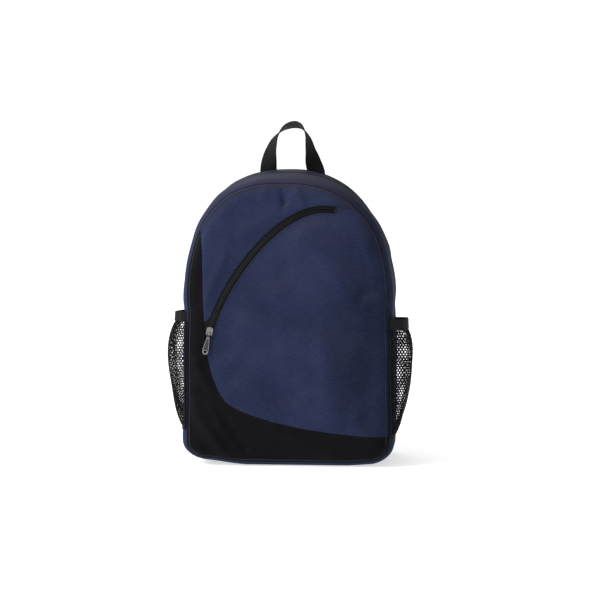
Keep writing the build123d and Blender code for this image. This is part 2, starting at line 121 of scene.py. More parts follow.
def run_outline():
    """The outline's right half, from the middle of the floor to the top of the arch: a straight
    floor, a corner arc, a straight side, a hollow arc at the waist and the arch. Gives points
    (x, z), outward normals and the distance walked, then mirrors them down the left side."""
    waist_z = ARCH_Z - np.sqrt((ARCH_R + WAIST_R) ** 2 - (SIDE_X + WAIST_R) ** 2)
    turn = np.arctan2(waist_z - ARCH_Z, SIDE_X + WAIST_R)
    steps = np.linspace(0, 1, FLAT_STEPS)
    corner = np.pi / 2 * (steps - 1)
    hollow = np.pi + turn * steps
    arch = turn + (np.pi / 2 - turn) * np.linspace(0, 1, ARCH_STEPS)
    pieces = [
        (steps * (SIDE_X - CORNER_R), 0 * steps, 0 * steps, -1 + 0 * steps),
        (SIDE_X - CORNER_R + CORNER_R * np.cos(corner), CORNER_R + CORNER_R * np.sin(corner),
         np.cos(corner), np.sin(corner)),
        (SIDE_X + 0 * steps, CORNER_R + steps * (waist_z - CORNER_R), 1 + 0 * steps, 0 * steps),
        (SIDE_X + WAIST_R + WAIST_R * np.cos(hollow), waist_z + WAIST_R * np.sin(hollow),
         -np.cos(hollow), -np.sin(hollow)),
        (ARCH_R * np.cos(arch), ARCH_Z + ARCH_R * np.sin(arch), np.cos(arch), np.sin(arch)),
    ]
    right = np.concatenate([np.stack(p, 1) for p in pieces])
    left = right[::-1] * np.array([-1, 1, -1, 1])
    whole = np.concatenate([right, left[1:]])
    return whole, walk(whole[:, :2])


OUTLINE, WALKED = run_outline()
ROUND = WALKED[-1]           # once round the bag
WAIST_Z = ARCH_Z - np.sqrt(ARCH_R ** 2 - SIDE_X ** 2)
print("once round the bag is", round(ROUND, 3), "m")

# %% [markdown]
# Three questions are asked of the outline all the time: where is the point at a distance round
# it, at what distance does its side reach a height, and how far in from it does a point lie.


# %% Questions to the outline
def outline(s):
    """Points (x, z) and outward normals at distances s round the bag from the floor's middle,
    up the right side first."""
    values = [np.interp(np.mod(s, ROUND), WALKED, OUTLINE[:, k]) for k in range(4)]
    size = np.hypot(values[2], values[3])
    return values[0], values[1], values[2] / size, values[3] / size


def distance_at(height, left=False):
    """How far round the outline the side reaches a height."""
    half = len(OUTLINE) // 2
    s = np.interp(height, OUTLINE[FLAT_STEPS:half, 1], WALKED[FLAT_STEPS:half])
    return ROUND - s if left else s


def edge_distance(x, z):
    """Distance in from the outline: from the arch above the waist, and below it from the
    nearest of the side, the floor and the round corner."""
    side = SIDE_X - np.abs(x)
    over = np.maximum(np.abs(x) - (SIDE_X - CORNER_R), 0)
    under = np.maximum(CORNER_R - z, 0)
    low = np.where((over > 0) & (under > 0), CORNER_R - np.hypot(over, under),
                   np.minimum(side, z))
    return np.where(z > WAIST_Z, ARCH_R - np.hypot(x, z - ARCH_Z), low)


print("the waist is at", round(WAIST_Z, 3), "m")

# %% [markdown]
# ## How a filled bag settles
# Full of books, the bag spreads a little low down, draws in at its shoulders, most of all at the
# back, and its bottom corners lift off the floor. One small movement, worked out for any point
# from its height round the arch and its depth, is given to every piece of the shell alike, so
# cloth, zips and stitches stay together.

# %% Settling
# Degrees up round the arch from its springing, with the side below it as negative degrees, and
# how far the cloth moves out there at the front seam and at the back one.
ANGLES = np.array([-99, -93, -87, -75, -60, -30, -16, -9, 0, 8, 16, 23, 30, 38, 47, 58, 73, 90])
AT_FRONT = np.array([0, 4, 5.6, 5, 4, 3.5, 2.0, -0.5, -3.5, -4.2, -4.1, -3, -1, 0, 0.5, 0.8, -1.5,
                     -3.5]) * MM
AT_BACK = np.array([0, 3, 4, 4, 4, 4, 2.0, -0.2, -4, -6.5, -7, -6.5, -5, -3, 0, 1.6, 1.4,
                    0.6]) * MM
DEGREES = np.arange(-99, 91)
EASE = np.hanning(15) / np.hanning(15).sum()
AT_FRONT, AT_BACK = (np.convolve(np.pad(np.interp(DEGREES, ANGLES, table), 7, mode="edge"), EASE,
                                 "valid") for table in (AT_FRONT, AT_BACK))


def settle(points):
    """Moves points (n, 3) outwards by a tabled amount that depends on the height round the arch
    and the depth, plus a crest beside the main zip and what makes left and right differ. The
    move fades to nothing further in from the side. Then the bottom corners lift."""
    x, y, z = points.T
    over = z > ARCH_Z
    angle = np.degrees(np.where(over, np.arctan2(z - ARCH_Z, np.abs(x) + 1e-9),
                                (z - ARCH_Z) / ARCH_R))
    radius = np.where(over, np.hypot(x, z - ARCH_Z), np.abs(x)) + 1e-9
    back = np.clip((y - FRONT_Y) / (REAR_SEAM_Y - FRONT_Y), 0, 1)
    tabled = np.interp(angle, DEGREES, AT_FRONT) * (1 - back) \
        + np.interp(angle, DEGREES, AT_BACK) * back
    crest = 2.6 * MM * smooth_step((angle - 6) / 12) * smooth_step((42 - angle) / 14) \
        * np.exp(-((y - ZIP_Y) / (42 * MM)) ** 2)
    aside = smooth_step(np.abs(x) / (40 * MM))
    fuller_left = 5.0 * MM * aside * (x < 0) * np.exp(-((angle - 55) / 22) ** 2)
    slack_right = 4.6 * MM * aside * (x > 0) * back * np.exp(-((angle - 42) / 24) ** 2)
    move = (tabled + crest + fuller_left - slack_right) \
        * smooth_step((radius - 112 * MM) / (36 * MM)) \
        * smooth_step((BACK_Y + 8 * MM - y) / (8 * MM))
    lift = 8 * MM * smooth_step((-x - 55 * MM) / (75 * MM)) \
        + 3 * MM * smooth_step((x - 80 * MM) / (50 * MM))
    lift = lift * np.clip(1 - z / (70 * MM), 0, 1) ** 2 * (1 - 0.7 * back)
    return np.stack([x + move * x / radius, y,
                     z + move * np.where(over, (z - ARCH_Z) / radius, 0) + lift], 1)


print("settling moves points by", round(1000 * AT_BACK.min(), 1), "to",
      round(1000 * AT_FRONT.max(), 1), "mm")

# %% [markdown]
# ## Meshes from grids
# A grid of points makes a sheet of quads, and a sheet may be closed round one way. One helper
# turns the grid into a mesh with its cloth coordinates (u, v) in metres, so a weave keeps its
# true size on every piece. Faces are turned all together, by comparing them with a direction
# that is known to point outwards.


# %% Grids and meshes
def grid_faces(rows, columns, close_columns=False):
    """Quads between neighbours of a rows by columns grid, round the ends where it's closed."""
    i = np.arange(rows - 1)[:, None]
    j = np.arange(columns if close_columns else columns - 1)[None, :]
    j_next = (j + 1) % columns
    return np.stack([i * columns + j, i * columns + j_next, (i + 1) * columns + j_next,
                     (i + 1) * columns + j], -1).reshape(-1, 4)


def make_mesh(name, points, faces, uv=None):
    """A smooth mesh from points (n, 3) and faces (m, 3 or 4), with cloth coordinates."""
    mesh = bpy.data.meshes.new(name)
    faces = np.asarray(faces)
    mesh.vertices.add(len(points))
    mesh.vertices.foreach_set("co", np.asarray(points, np.float32).ravel())
    mesh.loops.add(faces.size)
    mesh.loops.foreach_set("vertex_index", faces.astype(np.int32).ravel())
    mesh.polygons.add(len(faces))
    mesh.polygons.foreach_set("loop_start", np.arange(0, faces.size, faces.shape[1]))
    mesh.update(calc_edges=True)
    if uv is not None:
        layer = mesh.uv_layers.new(name="cloth")
        layer.data.foreach_set("uv", np.asarray(uv, np.float32)[faces.ravel()].ravel())
    mesh.polygons.foreach_set("use_smooth", np.ones(len(faces), bool))
    mesh.validate()
    return mesh


def turned(points, faces, outward):
    """The faces (m, 4), all turned over if on the whole they look against outward (m, 3)."""
    corners = points[faces]
    normal = np.cross(corners[:, 2] - corners[:, 0], corners[:, 3] - corners[:, 1])
    return faces[:, ::-1] if (normal * outward).sum() < 0 else faces


def sheet(name, points, uv, outward, close_columns=False):
    """A mesh from a grid of points (rows, columns, 3), turned so that its faces look along
    outward, an array of the same shape or one direction."""
    faces = grid_faces(*points.shape[:2], close_columns)
    flat = points.reshape(-1, 3)
    hint = np.broadcast_to(outward, points.shape).reshape(-1, 3)[faces[:, 0]]
    return make_mesh(name, flat, turned(flat, faces, hint), uv.reshape(-1, 2))


def points_of(mesh):
    """The mesh's points as an array (n, 3)."""
    points = np.zeros(len(mesh.vertices) * 3)
    mesh.vertices.foreach_get("co", points)
    return points.reshape(-1, 3)


def move_points(mesh, points):
    """Gives the mesh's points new places."""
    mesh.vertices.foreach_set("co", points.ravel())


print("a closed ring of 6 by 6 points has", len(grid_faces(6, 6, True)), "faces")

# %% [markdown]
# Every piece is finished in the same way: it settles with the bag, gets its thickness and its
# finish, rides on the part of the bag that it is sewn to, and hides the pieces of the frame that
# it stands for. Where the bag's front leans forward the cloth has to bend; a piece that crosses
# that line rides on no part and keeps its place.

# %% Pieces
# Each bend runs from a place where the cloth still stands to one where it leans: a start, and
# the direction square to the crease times the stretch's length.
FOLD_AXIS = np.array([0, ZIP_Y, HINGE_Z])
FOLD_SEAM = np.array([0, FRONT_Y + 1 * MM, 0.109])
BENDS = {"fold": (FOLD_AXIS, FOLD_AXIS + np.array([0, -0.7626, 0.6468]) * 30.4 * MM),
         "inner fold": (FOLD_SEAM, FOLD_SEAM + np.array([0, 0.857, 0.514]) * 24.2 * MM)}
made = []


def put(name, data):
    """A new object in the scene that holds a mesh, lamp, camera or curve."""
    obj = bpy.data.objects.new(name, data)
    bpy.context.scene.collection.objects.link(obj)
    return obj


def piece(mesh, material, body, stands_for=(), thick=0.0, inside=None, smooth=0):
    """Puts a settled mesh in the scene. body is the frame's body that it rides on, or "fold" for
    cloth that crosses the line where the bag's front leans forward, or "inner fold" for the lining
    behind it; these two ride on no body. inside is the finish of its inner face."""
    move_points(mesh, settle(points_of(mesh)))
    obj = put(mesh.name, mesh)
    mesh.materials.append(material)
    if thick:
        solid = obj.modifiers.new("thickness", "SOLIDIFY")
        solid.thickness = thick
        solid.offset = -1
        if inside is not None:
            mesh.materials.append(inside)
            solid.material_offset = 1
            solid.material_offset_rim = 0
    if smooth:
        subdivision = obj.modifiers.new("smooth", "SUBSURF")
        subdivision.levels = subdivision.render_levels = smooth
    if body in BENDS:
        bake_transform(obj)
    else:
        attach(obj, body)
    if stands_for:
        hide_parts(*stands_for)
    made.append(obj)
    return obj


def tell(what):
    """Prints how many pieces were made since it was last called, and their faces."""
    print(f"{what}: {len(made)} pieces, {sum(len(obj.data.polygons) for obj in made)} faces")
    made.clear()


bend_start, bend_end = BENDS["fold"]
print("cloth bends over", round(1000 * np.linalg.norm(bend_end - bend_start), 1), "mm")

# %% [markdown]
# ## Shader arithmetic
# `Value` wraps a socket, so `1 - mask * 0.4` adds its Math nodes by itself. The reflected forms
# let a plain number stand on the left.


# %% Value
class Value:
    """A number, vector or colour inside a material."""

    def __init__(self, look, socket):
        self.look, self.socket = look, socket

    def math(self, operation, first, second=None):
        return self.look.node("Math", {"operation": operation}, first, second)

    def __add__(self, other):
        return self.math("ADD", self, other)

    def __radd__(self, other):
        return self.math("ADD", other, self)

    def __sub__(self, other):
        return self.math("SUBTRACT", self, other)

    def __rsub__(self, other):
        return self.math("SUBTRACT", other, self)

    def __mul__(self, other):
        return self.math("MULTIPLY", self, other)

    def __rmul__(self, other):
        return self.math("MULTIPLY", other, self)

    def __truediv__(self, other):
        return self.math("DIVIDE", self, other)

    def __abs__(self):
        return self.math("ABSOLUTE", self)

    def sine(self):
        return self.math("SINE", self)

    def power(self, exponent):
        return self.math("POWER", self, exponent)

    def larger(self, other):
        return self.math("MAXIMUM", self, other)

    def share(self):
        """The value, kept between 0 and 1."""
        return self.math("MAXIMUM", self.math("MINIMUM", self, 1.0), 0.0)

    def over(self, limit):
        return self.math("GREATER_THAN", self, limit)


print("values can be added:", hasattr(Value, "__radd__"))

# %% [markdown]
# `Look` is one material. Its `node` method adds any node from its settings and inputs, and the
# other methods name the few that a finish needs: coordinates, noise, a mix of two colours and a
# bump. Constants go straight onto the shader's own sockets.


# %% Look
class Look:
    """One procedural material. Constants go straight onto the shader's own sockets."""

    def __init__(self, name, **constants):
        self.material = bpy.data.materials.new(name)
        self.material.use_nodes = True
        self.tree = self.material.node_tree
        self.shader = self.tree.nodes["Principled BSDF"]
        for socket, value in constants.items():
            self.shader.inputs[socket.replace("_", " ")].default_value = value

    def node(self, kind, settings, *values, out=0):
        """Adds a node: settings first, such as an operation, then the values or links of its
        sockets in order."""
        node = self.tree.nodes.new("ShaderNode" + kind)
        for key, value in settings.items():
            setattr(node, key, value)
        for socket, value in zip(node.inputs, values):
            if isinstance(value, Value):
                self.tree.links.new(value.socket, socket)
            elif value is not None:
                socket.default_value = value
        return Value(self, node.outputs[out])

    def feed(self, socket, value):
        """Links a value that changes over the surface to one of the shader's sockets."""
        self.tree.links.new(value.socket, self.shader.inputs[socket])

    def split(self, vector):
        """The three parts of a vector."""
        parts = self.node("SeparateXYZ", {}, vector).socket.node
        return [Value(self, output) for output in parts.outputs]

    def cloth_uv(self):
        """The piece's own cloth coordinates, in metres."""
        return self.node("UVMap", {"uv_map": "cloth"})

    def place(self):
        """Where the point is on the bag, in metres."""
        return self.node("TexCoord", {}, out=3)

    def facing(self):
        """The way that the face looks, as a direction."""
        return self.node("NewGeometry", {}, out=1)

    def noise(self, vector, scale, detail=2.0, rough=0.5):
        """Cloudy noise from 0 to 1."""
        return self.node("TexNoise", {}, vector, None, scale, detail, rough)

    def stretched(self, vector, *scale):
        """The vector with its three parts scaled."""
        return self.node("Mapping", {}, vector, None, None, scale)

    def mix(self, mask, first, second):
        """Colour that goes from first to second with the mask."""
        first, second = (c if isinstance(c, Value) else (*c, 1) for c in (first, second))
        return self.node("Mix", {"data_type": "RGBA"}, mask, *[None] * 5, first, second, out=2)

    def bump(self, height, distance):
        """Feeds a height, times a distance in metres, to the shader's normal."""
        self.feed("Normal", self.node("Bump", {}, 1.0, distance, None, height))


print("a look can", [name for name in vars(Look) if not name.startswith("_")])

# %% [markdown]
# ## Finishes
# Pack cloth is a plain weave of thick flat yarns. Its threads cross every 0.7 mm, each yarn is
# a shade lighter where it comes up, and the whole cloth drifts slightly in tone. Faces that look
# up get a paler painted sheen, as if lit by the lamp above; painted shade darkens the bag's right
# side and painted light pales its top. The same weave in black makes the swooping
# panel, and finer ones make lining and net.


# %% Woven cloth
def weave(u, v, pitch):
    """Height of a plain weave: each yarn is a rounded rib, and warp and weft take turns on top.
    The turn is the product of the two yarns' sines."""
    across = (u * (np.pi / pitch)).sine()
    along = (v * (np.pi / pitch)).sine()
    turn = across * along * 0.5 + 0.5
    return abs(across) * turn + abs(along) * (1 - turn)


def woven(name, dark, light, pitch, sheen=0.0, relief=0.12 * MM, rough=0.62,
          painted_sheen_colour=(0.055, 0.050, 0.072)):
    """A woven cloth between two shades: its tone is the weave's height, plus the yarns' own
    uneven colour, thick yarns and a cloudy drift. Painted shade darkens it towards the bag's right
    side, painted light makes it paler near its top, and a painted sheen makes it paler where it
    faces up."""
    look = Look(name, Sheen_Weight=sheen, Sheen_Roughness=0.45, Specular_IOR_Level=0.07)
    uv = look.cloth_uv()
    u, v, _ = look.split(uv)
    height = weave(u, v, pitch)
    yarn = look.noise(uv, 1 / (3 * pitch), 3.0, 0.6)
    slub = look.noise(look.stretched(uv, 1, 5, 1), 130.0, 3.0, 0.65)
    cloud = look.noise(look.place(), 12.0, 4.0, 0.6)
    x, _, z = look.split(look.place())
    # Painted shade: the colour darkens towards the bag's right side, away from the key lamp.
    right_painted_shade = ((x - 0.045) / 0.065).share()
    # Painted light: the colour grows paler near the bag's top, where the light from above falls.
    top_painted_light = ((z - 0.27) / 0.12).share()
    tone = height * 0.45 + yarn * 0.55 + (cloud - 0.5) * 0.9 + (slub - 0.5) * 0.9 \
        - right_painted_shade * 0.24 + top_painted_light * 0.12
    # Painted sheen: faces that look up are mixed towards a paler colour, as if they caught the
    # light from above.
    _, _, up = look.split(look.facing())
    up_painted_sheen = up.larger(0.0) * 0.55 * (cloud * 0.6 + 0.7)
    look.feed("Base Color", look.mix(up_painted_sheen, look.mix(tone, dark, light), painted_sheen_colour))
    look.feed("Roughness", rough + yarn * 0.14 - height * 0.06)
    pucker = look.noise(look.place(), 130.0, 2.0)
    look.bump(height + yarn * 0.5 + pucker * 1.6, relief)
    return look.material


NAVY = woven("navy_cloth", (0.0042, 0.0064, 0.021), (0.027, 0.037, 0.090), 0.7 * MM)
# The black cloth's last colour is its painted sheen where it faces up.
BLACK = woven("black_cloth", (0.0008, 0.0008, 0.0012), (0.0055, 0.0052, 0.0072), 0.7 * MM,
              painted_sheen_colour=(0.012, 0.012, 0.014))
LINING = woven("lining_cloth", (0.012, 0.012, 0.014), (0.034, 0.034, 0.038), 0.35 * MM, 0.1,
               0.05 * MM)
NET_YARN = woven("net_yarn", (0.002, 0.002, 0.0025), (0.009, 0.009, 0.010), 0.4 * MM,
                 relief=0.05 * MM)
print("woven cloths:", NAVY.name, BLACK.name, LINING.name, NET_YARN.name)

# %% [markdown]
# Webbing, zip tape and elastic are narrow woven goods: ribs run along them, and a fine cross
# pattern breaks each rib. One function serves all three with its own rib width.


# %% Narrow woven goods
def ribbed(name, dark, light, rib, cross, relief):
    """Ribs along v, each rib a rounded cord, crossed by finer yarns that lie on a slant."""
    look = Look(name, Sheen_Weight=0.02, Sheen_Roughness=0.5, Specular_IOR_Level=0.16)
    uv = look.cloth_uv()
    u, v, _ = look.split(uv)
    cord = abs((u * (np.pi / rib)).sine())
    slant = ((v + u * 0.5) * (2 * np.pi / cross)).sine() * 0.5 + 0.5
    fuzz = look.noise(uv, 1 / (2 * cross), 3.0, 0.65)
    tone = cord * 0.5 + slant * 0.25 + fuzz * 0.3
    look.feed("Base Color", look.mix(tone, dark, light))
    look.feed("Roughness", 0.58 + fuzz * 0.2)
    look.bump(cord.power(0.6) + slant * 0.35 + fuzz * 0.3, relief)
    return look.material


WEBBING = ribbed("webbing", (0.0012, 0.0012, 0.0016), (0.009, 0.0086, 0.0098), 1.9 * MM, 1.1 * MM,
                 0.30 * MM)
STRAP_WEB = ribbed("strap_webbing", (0.004, 0.004, 0.005), (0.030, 0.030, 0.033), 1.9 * MM,
                   1.1 * MM, 0.30 * MM)
TAPE = ribbed("zip_tape", (0.0015, 0.0015, 0.002), (0.009, 0.009, 0.010), 0.8 * MM, 0.6 * MM,
              0.10 * MM)
ELASTIC = ribbed("elastic", (0.002, 0.002, 0.0025), (0.010, 0.010, 0.0112), 1.3 * MM, 0.8 * MM,
                 0.25 * MM)
print("narrow goods:", WEBBING.name, STRAP_WEB.name, TAPE.name, ELASTIC.name)
# %% [markdown]
# Nylon coil and moulded buckles are black plastic with a soft gloss, and the sliders are plated
# metal. Each pull's recessed face takes a darker copy of the plate than its raised rim.


# %% Plastics, metal and thread
def plastic(name, dark, light, rough, grain):
    """Moulded plastic with a fine spark-eroded grain."""
    look = Look(name, Specular_IOR_Level=0.25)
    place = look.place()
    fine = look.noise(place, 2600.0, 2.0)
    cloud = look.noise(place, 60.0, 2.0)
    look.feed("Base Color", look.mix(cloud * 0.6 + fine * 0.4, dark, light))
    look.feed("Roughness", rough + fine * 0.16)
    look.bump(fine, grain)
    return look.material


COIL = plastic("nylon_coil", (0.002, 0.002, 0.0024), (0.010, 0.010, 0.012), 0.40, 0.01 * MM)
BUCKLE = plastic("moulded_buckle", (0.009, 0.009, 0.010), (0.020, 0.020, 0.022), 0.42,
                 0.05 * MM)
THREAD_DARK = plastic("dark_thread", (0.003, 0.0035, 0.008), (0.012, 0.013, 0.026), 0.7,
                      0.02 * MM)
# Painted shade: a near-black cord finish that stands for the dark crease of the front seam.
SEAM_SHADE = plastic("seam_welt", (0.0012, 0.0014, 0.003), (0.004, 0.0045, 0.010), 0.8, 0.02 * MM)


def plated(name, dark, light):
    """Dark nickel plate: bright metal with faint scratches and duller patches."""
    look = Look(name, Metallic=1.0)
    place = look.place()
    dull = look.noise(place, 420.0, 3.0, 0.6)
    scratch = look.noise(look.stretched(place, 1, 1, 9), 900.0, 2.0)
    look.feed("Base Color", look.mix(dull, dark, light))
    look.feed("Roughness", 0.24 + dull * 0.20 + scratch * 0.10)
    look.bump(scratch, 0.02 * MM)
    return look.material


METAL = plated("zip_metal", (0.10, 0.098, 0.095), (0.42, 0.41, 0.40))
# A darker copy of the plate for the pulls' recessed faces; their rims take the brighter one.
METAL_FACE = plated("zip_metal_recess", (0.02, 0.02, 0.019), (0.11, 0.108, 0.105))
print("plastics and metals:", COIL.name, BUCKLE.name, METAL.name, METAL_FACE.name)
# %% [markdown]
# ## Camera, light and floor
# The camera stands a long way off, a little to the bag's left as it faces us and a little above
# it, as for a catalogue picture. Its long lens keeps the upright lines upright.


# %% Camera
def aim(obj, place, target):
    """Turns an object at place so that its -Z looks at the target."""
    obj.location = place
    direction = Vector(target) - Vector(place)
    obj.rotation_euler = direction.to_track_quat("-Z", "Y").to_euler()


AZIMUTH, ELEVATION, DISTANCE = np.radians(3.7), np.radians(7.0), 3.7
target = np.array([0.0181, FRONT_Y, 0.2406])
camera = put("camera", bpy.data.cameras.new("camera"))
camera.data.sensor_width = 36
camera.data.lens = 157
aim(camera, target + DISTANCE * np.array([np.sin(AZIMUTH) * np.cos(ELEVATION),
                                          -np.cos(AZIMUTH) * np.cos(ELEVATION),
                                          np.sin(ELEVATION)]), target)
bpy.context.scene.camera = camera
print("camera at", camera.location)

# %% [markdown]
# A large soft key lamp from the upper left shapes the folds, a weak fill keeps the right side
# open, and a rim lamp from behind draws the top edge. The surround is brighter on the left and
# above, so the shade runs the same way everywhere.


# %% Lamps and surround
def lamp(name, place, size, watts):
    """A square soft lamp that looks at the middle of the bag."""
    light = bpy.data.lights.new(name, "AREA")
    light.size, light.energy = size, watts
    aim(put(name, light), place, (0, 0, 0.22))


lamp("key", (-2.3, -1.3, 1.9), 0.9, 66)
lamp("fill", (1.9, -1.8, 1.2), 1.6, 1)
lamp("rim", (-0.4, 2.2, 2.2), 1.4, 12)

world = bpy.data.worlds.new("surround")
bpy.context.scene.world = world
world.use_nodes = True
world.node_tree.nodes["Background"].inputs[0].default_value = (1, 1, 1, 1)


class Surround(Look):
    """The world's own shader arithmetic, with the direction looked in as its coordinates."""

    def __init__(self, held):
        self.tree = held.node_tree


sky = Surround(world)
sky_x, sky_y, sky_z = sky.split(sky.node("TexCoord", {}))
glow = (0.5 - sky_x * 0.42 - sky_y * 0.08 + sky_z * 0.26).larger(0.0).power(1.8)
sky.tree.links.new((0.08 + glow * 0.75).socket, sky.tree.nodes["Background"].inputs[1])
bpy.context.scene.view_settings.view_transform = "Standard"

# %% [markdown]
# The floor is a white sweep that glows a little of itself, so it stays white to the horizon
# while the bag's soft shade still shows on it.

# %% Floor
floor_look = Look("floor", Roughness=0.9, Specular_IOR_Level=0.0, Emission_Strength=0.62,
                  Emission_Color=(1, 1, 1, 1))
floor_look.feed("Base Color", floor_look.mix(floor_look.noise(floor_look.place(), 0.6),
                                             (0.90, 0.90, 0.90), (0.93, 0.93, 0.93)))
reach = np.array([-400.0, 400.0])
floor_points = np.stack([*np.meshgrid(reach, reach, indexing="ij"), np.zeros((2, 2))], -1)
floor = put("floor", sheet("floor", floor_points, floor_points[..., :2], (0, 0, 1)))
floor.data.materials.append(floor_look.material)
print("floor reaches", reach[1], "m each way")

# %% [markdown]
# ## The lines of the front
# Two lines divide the front: the zip, which sweeps from low left to high right, and the edge of
# the black panel, which runs straight down from its point, turns under the pull and sweeps away
# to the right. Each is a few Bezier curves, so four points say each stretch.


# %% Front lines
def bezier(points, count):
    """A cubic Bezier curve: the four points weighted by the Bernstein polynomials."""
    t = np.linspace(0, 1, count)[:, None]
    p = np.array(points, float) * MM
    return (1 - t) ** 3 * p[0] + 3 * t * (1 - t) ** 2 * p[1] + 3 * t * t * (1 - t) * p[2] \
        + t ** 3 * p[3]


def respaced(line, count):
    """The same line with evenly spaced points."""
    walked = walk(line)
    places = np.linspace(0, walked[-1], count)
    return np.stack([np.interp(places, walked, line[:, k]) for k in range(line.shape[1])], 1)


def sideways(line):
    """Unit normals to the left of a line in the (x, z) plane."""
    way = unit(np.gradient(line, axis=0))
    return np.stack([-way[:, 1], way[:, 0]], 1)


ZIP_LINE = respaced(bezier([(-110.3, 194.8), (-90.0, 270.7), (-1.5, 386.5), (68.2, 367.6)], 400),
                    400)
ZIP_LENGTH = walk(ZIP_LINE)[-1]
WEDGE_TIP = np.array([-123.5, 340.5]) * MM
wedge = bezier([(-123.5, 340.5), (-121.8, 294.0), (-120.6, 244.0), (-118.3, 208.9)], 80)
under_pull = bezier([(-118.3, 208.9), (-117.5, 197.0), (-116.6, 189.0), (-115.4, 176.0)], 30)
turn_down = bezier([(-115.4, 176.0), (-113.6, 139.9), (-98.6, 100.2), (-80.6, 88.9)], 120)
sweep_away = bezier([(-80.6, 88.9), (-45.0, 66.3), (60.7, 44.6), (147.0, 44.4)], 160)
BLACK_EDGE = np.concatenate([wedge, under_pull[1:], turn_down[1:], sweep_away[1:]])
print("front zip", round(ZIP_LENGTH, 3), "m")

# %% [markdown]
# The front's outer seam lies 7 mm in from the outline. Three of its places matter: where the
# black panel's point meets it, where the panel's edge runs out on the right, and where the
# crease that carries on from the zip's upper end reaches it.


# %% The front seam and the crease
def seam_outline(start, end, count):
    """Points on the front seam between two distances round the bag."""
    x, z, nx, nz = outline(np.linspace(start, end, count))
    return np.stack([x - nx * SEAM_IN, z - nz * SEAM_IN], 1)


def seam_place(point):
    """Distance round the bag of the seam's point nearest to a given one."""
    return np.linspace(0, ROUND, 4000)[np.argmin(
        np.linalg.norm(seam_outline(0, ROUND, 4000) - point, axis=1))]


TIP_S = seam_place(WEDGE_TIP)
END_S = seam_place(BLACK_EDGE[-1])
CREASE_S = seam_place(np.array([97.0, 366.0]) * MM)
crease_end = seam_outline(CREASE_S, CREASE_S, 1)[0]
slot_corner = ZIP_LINE[-1] + sideways(ZIP_LINE)[-1] * SLIT
zip_step = (ZIP_LINE[-1] - ZIP_LINE[-6]) / 5
crease_bend = slot_corner + zip_step * 22
CREASE = respaced(np.stack([slot_corner, crease_bend, crease_end]), 40)
print("crease", round(walk(CREASE)[-1], 3), "m")

# %% [markdown]
# The front's depth is one function of (x, z), shared by its three cloths, so they meet exactly.
# It rolls back round the edge as a quarter ellipse, swells forward where books would press, stays
# level beside the zip, and sinks a little along each seam. Soft folds and a slow unevenness
# break the light.


# %% The front's depth
def nearest(points, line):
    """Distance from each point (..., 2) to a line of points, a few thousand at a time."""
    flat = points.reshape(-1, 2)
    best = np.full(len(flat), 9.0)
    for part in np.array_split(np.arange(len(flat)), max(1, len(flat) // 4000)):
        gap = flat[part][:, None] - line[None]
        best[part] = np.sqrt((gap ** 2).sum(2).min(1))
    return best.reshape(points.shape[:-1])


def fold(points, start, end, width, height):
    """A soft ridge along a segment: a bell across it that fades towards both ends."""
    a, b = np.array(start) * MM, np.array(end) * MM
    along = ((points - a) @ (b - a)) / ((b - a) @ (b - a))
    across = points - a - np.clip(along, 0, 1)[..., None] * (b - a)
    bell = np.exp(-((across ** 2).sum(-1)) / (width * MM) ** 2)
    return height * MM * bell * smooth_step(4 * along + 1) * smooth_step(5 - 4 * along)


# Each fold's start, end, width and height in millimetres: under the top seam, on the black
# panel, then across the navy cloth.
FOLDS = [((-8, 398), (-3, 376), 5, -3.0), ((12, 402), (24, 368), 8, 2.4),
         ((0, 395), (-6, 366), 6, -2.1), ((-30, 404), (-34, 380), 7, 1.5),
         ((-128, 150), (-96, 62), 8, 3.6), ((-120, 112), (-60, 28), 7, -3.6),
         ((-136, 92), (-92, 20), 8, 3.9), ((-138, 60), (-116, 22), 6, -2.7),
         ((-20, 58), (60, 20), 9, 2.7), ((-60, 330), (20, 378), 14, 2.2),
         ((-90, 300), (-118, 230), 8, 2.1), ((20, 330), (112, 225), 22, 3.4),
         ((36, 300), (92, 200), 15, -2.4), ((-60, 150), (10, 100), 20, -3.0),
         ((60, 120), (130, 150), 20, 2.7), ((139, 264), (104, 250), 6, -3.0),
         ((141, 240), (112, 236), 8, 2.4), ((95, 70), (138, 20), 8, 3.0),
         ((-10, 250), (70, 130), 26, 3.6), ((112, 330), (128, 250), 9, 2.2),
         ((46, 335), (66, 85), 38, 5), ((30, 200), (44, 90), 13, -2.2)]
SEAMS = [(respaced(BLACK_EDGE, 500), 0.9 * MM, 2.2 * MM), (CREASE, 0.9 * MM, 2.0 * MM)]
SWELL = 8 * MM               # how far books press the front out
DRIFT = 1.5 * MM             # slow unevenness of the cloth


